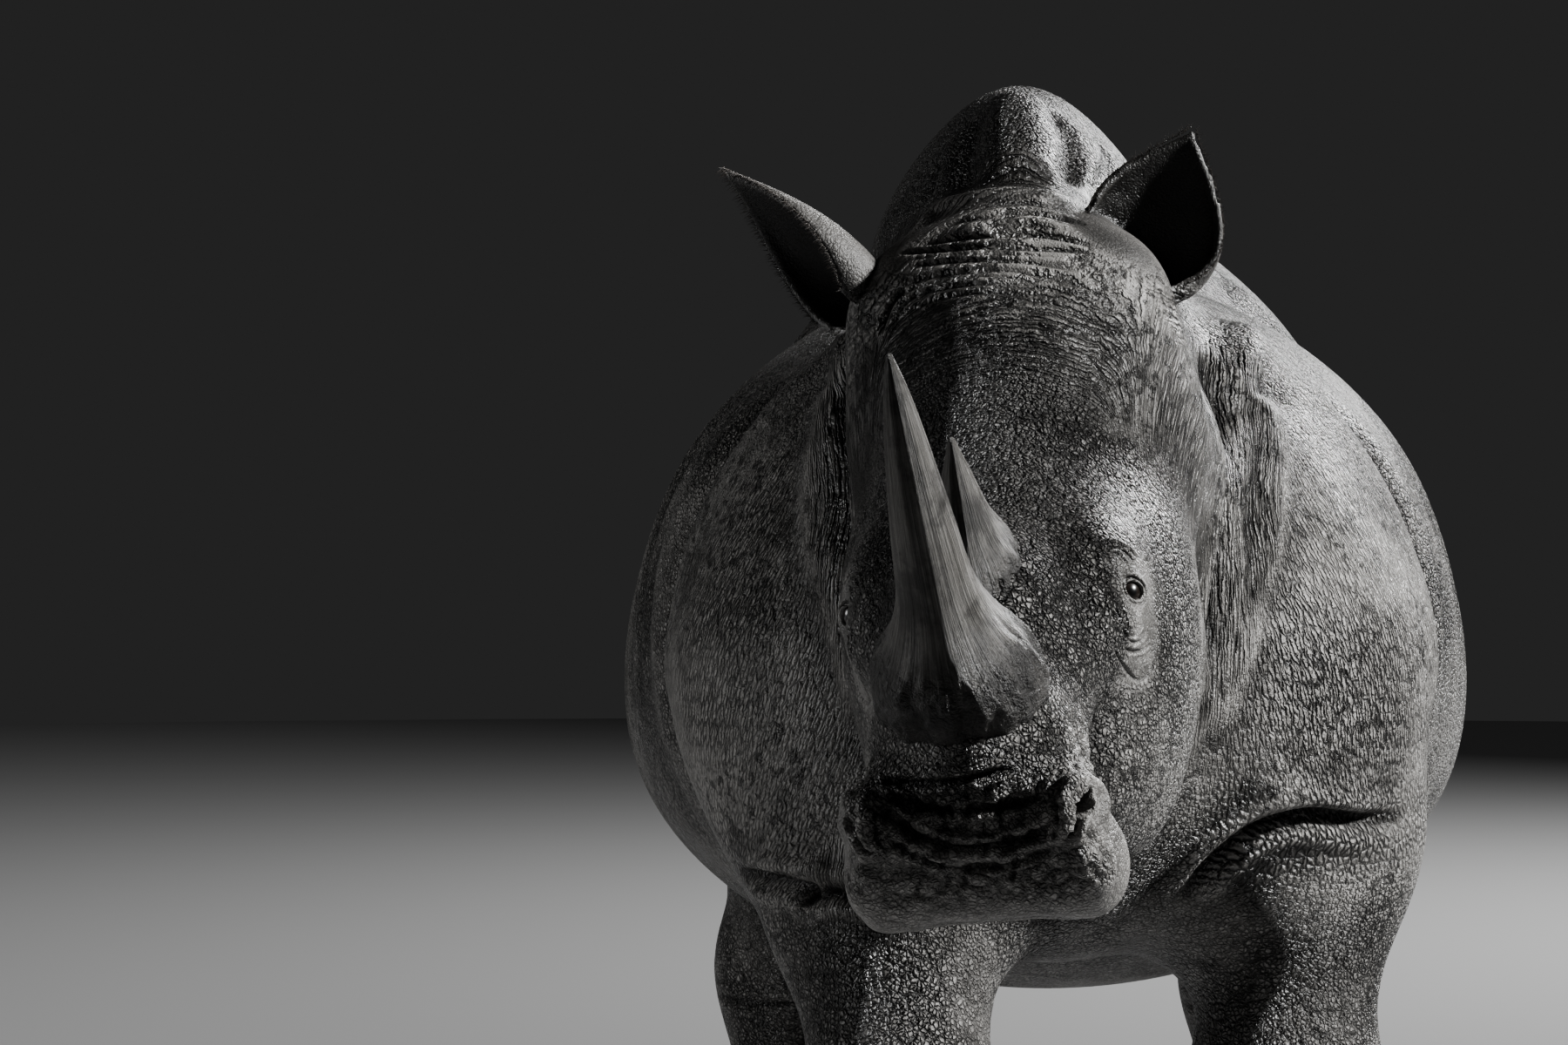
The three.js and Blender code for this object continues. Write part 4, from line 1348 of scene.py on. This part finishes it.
def nailMaterial(look):
    material, tree, surface = shaderTree("nail")
    here = knot(tree, "TexCoord", "Object")
    strands = noiseOf(tree, stretched(tree, here, (1, 1, 0.12)), 190.0, 4.0, 0.6)
    rings = noiseOf(tree, stretched(tree, here, (0.15, 0.15, 1)), 120.0, 3.0)
    relief = maths(tree, "ADD", strands, rings)
    colour = tinted(tree, ranged(tree, relief, 0.8, 1.25), look["dark"], look["pale"])
    feed(tree, surface.inputs["Base Color"], colour)
    surface.inputs["Roughness"].default_value = 0.55
    bumped(tree, surface, relief, look["relief"], 0.7)
    return material


def rounded(node, label):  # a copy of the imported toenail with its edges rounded
    shape = bmesh.new()
    shape.from_mesh(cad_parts[node].data)
    bmesh.ops.remove_doubles(shape, verts=shape.verts, dist=1e-6)
    bmesh.ops.dissolve_limit(shape, angle_limit=math.radians(2), verts=shape.verts, edges=shape.edges)
    bmesh.ops.bevel(shape, geom=shape.edges[:], offset=nailEdge, affect="EDGES", segments=3,
                    profile=0.5, material=-1)
    bmesh.ops.triangulate(shape, faces=shape.faces)
    for v in shape.verts:
        v.co.z = max(v.co.z, 0)
    return smoothPiece(label, shape)


nailHorn = nailMaterial(nailLook)
for leg in ("fore_left", "fore_right", "hind_left", "hind_right"):
    for toe in ("mid", "outer", "inner"):
        node = f"nail_{leg}_{toe}"
        nail = rounded(node, f"toe{node}")
        nail.data.materials.append(nailHorn)
        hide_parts(node)
        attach(nail, "root")
print("toenails set")

# Hair: the ears' fringes, the lashes and the tail's brush
hairLook = {"dark": (0.012, 0.010, 0.009, 1), "pale": (0.07, 0.06, 0.052, 1)}
fringe = {"count": 170, "long": (7, 16), "thick": 0.55, "from": 0.34, "to": 0.995}  # shares of the ear
lashes = {"count": 30, "long": (8, 13), "thick": 0.4}
brush = {
    "count": 620, "long": (110, 235), "thick": 1.1,
    "roots": (905, 728), "lowest": 524,  # heights
    "tail": (1894, 15),  # the tail's y and radius there
}


def hairMaterial(look):
    material, tree, surface = shaderTree("hair")
    here = knot(tree, "TexCoord", "Object")
    streak = noiseOf(tree, stretched(tree, here, (1, 1, 0.05)), 900.0, 2.0)
    feed(tree, surface.inputs["Base Color"], tinted(tree, streak, look["dark"], look["pale"]))
    surface.inputs["Roughness"].default_value = 0.5
    return material


def strand():  # one hair along +Z from 0 to 1, with its point at the top
    hair = bmesh.new()
    bmesh.ops.create_cone(hair, cap_ends=True, segments=4, radius1=1, radius2=0.12, depth=1)
    bmesh.ops.translate(hair, vec=(0, 0, 0.5), verts=hair.verts)
    sides = [e for e in hair.edges if abs(e.verts[0].co.z - e.verts[1].co.z) > 0.5]
    bmesh.ops.subdivide_edges(hair, edges=sides, cuts=4)
    return meshOf("strand", hair)


def between(pair, share):
    return pair[0] + (pair[1] - pair[0]) * share


def hairPiece(name, hairs, node=None):
    whole = bmesh.new()
    one = strand()
    bake = whole.loops.layers.uv.new("OFBake")
    for root, way, sag, long, thick, spot in hairs:
        first = len(whole.verts)
        firstFace = len(whole.faces)
        whole.from_mesh(one)
        whole.verts.ensure_lookup_table()
        whole.faces.ensure_lookup_table()
        way = unit(way)
        side = unit(np.cross(way, (0.3, 0.2, 0.93) if abs(way[2]) < 0.9 else (1, 0, 0)))
        other = np.cross(way, side)
        for face in whole.faces[firstFace:]:
            for loop in face.loops:
                co = loop.vert.co
                loop[bake].uv = (spot[0] + 0.0015 * co.x, spot[1] + 0.003 * (co.z - 0.5))
        for v in whole.verts[first:]:
            x, y, z = v.co
            width = thick * (1 - 0.75 * z)
            place = np.array(root) + way * (z * long) + np.array(sag) * (z * z * long)
            v.co = Vector(fromLeg(place + side * (x * width) + other * (y * width)))
    bpy.data.meshes.remove(one)
    bmesh.ops.recalc_face_normals(whole, faces=whole.faces)
    thing = smoothPiece(name, whole)
    thing.data.materials.append(hairDark)
    if node:
        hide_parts(node)
    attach(thing, "root")


hairDark = hairMaterial(hairLook)
chance = np.random.default_rng(7)


def fringeHairs(side):
    spec = earShape[side]
    rows = []
    for edge in (-1, 1):
        for i in range(fringe["count"]):
            t = between((fringe["from"], fringe["to"]), (i + chance.random()) / fringe["count"])
            turn = math.radians(min(through(earShape["sections"], t)[3], earShape["widest"])) * edge
            root = earPoint(spec, earShape, t, turn * (0.97 + 0.03 * chance.random()))
            before = earPoint(spec, earShape, t - 0.02, turn)
            away = unit(earPoint(spec, earShape, t, turn) - earPoint(spec, earShape, t, turn * 0.9))
            way = 0.9 * away + 0.7 * unit(root - before) + 0.35 * chance.normal(size=3)
            long = between(fringe["long"], t * (0.6 + 0.5 * chance.random()))
            spot = (0.05 + 0.9 * t, (0.15 if side == "left" else 0.6) + 0.1 * edge + 0.02 * chance.random())
            rows.append((root - 2 * unit(way), way, (0, 0, -0.2), long, fringe["thick"], spot))
    return rows


def lashHairs(side):
    out, along, across = eyeAxes(side)
    wide, high = (1.08 * half for half in eyeShape["half"])
    rows = []
    for i in range(lashes["count"]):
        turn = math.pi * (0.12 + 0.76 * (i + 0.5 * chance.random()) / lashes["count"])
        u, w = wide * math.cos(turn), high * math.sin(turn)
        rise = eyeShape["radius"] + eyeShape["lid"] - (u * u + w * w) / (2 * eyeShape["radius"])
        root = eyeSeat(side) + along * u + across * w + out * rise
        way = out + 0.5 * across + 0.25 * along * (u / wide) + 0.12 * chance.normal(size=3)
        long = between(lashes["long"], chance.random())
        spot = (0.1 + 0.8 * i / lashes["count"], 0.3 if side > 0 else 0.7)
        rows.append((root, way, -0.55 * across, long, lashes["thick"], spot))
    return rows


def brushHairs():
    rows = []
    y, radius = brush["tail"]
    for _ in range(brush["count"]):
        t = chance.random() ** 0.6
        z = between(brush["roots"], t)
        turn = chance.random() * 2 * math.pi
        wide = 1.0 + 0.35 * abs(math.cos(turn))
        root = (radius * wide * math.cos(turn) * 0.8, y - 4 * t + radius * 0.8 * math.sin(turn), z)
        way = (0.20 * math.cos(turn) * (0.4 + chance.random()), 0.07 * math.sin(turn), -1)
        long = min(between(brush["long"], chance.random()), z - brush["lowest"])
        sag = (-0.05 * math.cos(turn), 0, 0)
        spot = (0.05 + 0.9 * turn / (2 * math.pi), 0.1 + 0.8 * t)
        rows.append((root, way, sag, long, brush["thick"] * (0.7 + 0.6 * chance.random()), spot))
    return rows


hairPiece("ear_fringe", fringeHairs("left") + fringeHairs("right"))
hairPiece("lashes", lashHairs(1) + lashHairs(-1))
hairPiece("tail_brush", brushHairs(), "tail_tuft")
print("hair planted")

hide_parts(*skinShape["flesh"], *skinShape["ears"])
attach(skin, "root")

# Studio
studio = {
    "look": "AgX - Medium High Contrast",
    # kind, place, target, size in metres, power in watts, beam in degrees
    "key": ("SPOT", (7.4, -2.0, 5.2), (0.2, -0.8, 1.15), 0.35, 8300, 29),
    "fill": ("AREA", (-4.5, -7.5, 2.6), (0, -0.5, 1.0), 3.0, 14, None),
    "rim": ("AREA", (-7.5, 1.0, 2.6), (-0.2, 0.3, 0.9), 3.0, 190, None),
    "rear": ("AREA", (4.0, 7.5, 5.0), (0, 1.2, 1.0), 3.0, 620, None),
    "air": ((0.5, 0.5, 0.5, 1), 0.06),
    "floor": {"radius": 14, "colour": (0.42, 0.42, 0.42, 1), "roughness": 0.9},
}


def lamp(name, kind, at, target, size, power, beam):
    data = bpy.data.lights.new(name, kind)
    data.energy = power
    if kind == "AREA":
        data.shape = "DISK"
        data.size = size
    else:
        data.shadow_soft_size = size
        data.spot_size = math.radians(beam)
        data.spot_blend = 1.0
    thing = linked(name, data)
    thing.location = at
    thing.rotation_euler = (Vector(target) - Vector(at)).to_track_quat("-Z", "Y").to_euler()


def lightStudio(spec):
    for name in ("key", "fill", "rim", "rear"):
        lamp(name, *spec[name])
    world = bpy.data.worlds.new("studio")
    world.use_nodes = True
    air = world.node_tree.nodes["Background"]
    air.inputs["Color"].default_value, air.inputs["Strength"].default_value = spec["air"]
    scene.world = world
    scene.view_settings.view_transform = "AgX"
    scene.view_settings.look = spec["look"]


def layFloor(spec):
    ground = bmesh.new()
    bmesh.ops.create_circle(ground, cap_ends=True, segments=96, radius=spec["radius"])
    mesh = meshOf("floor", ground)
    paper, _, surface = shaderTree("paper")
    surface.inputs["Base Color"].default_value = spec["colour"]
    surface.inputs["Roughness"].default_value = spec["roughness"]
    mesh.materials.append(paper)
    linked("floor", mesh)


lightStudio(studio)
layFloor(studio["floor"])
print("studio lit")
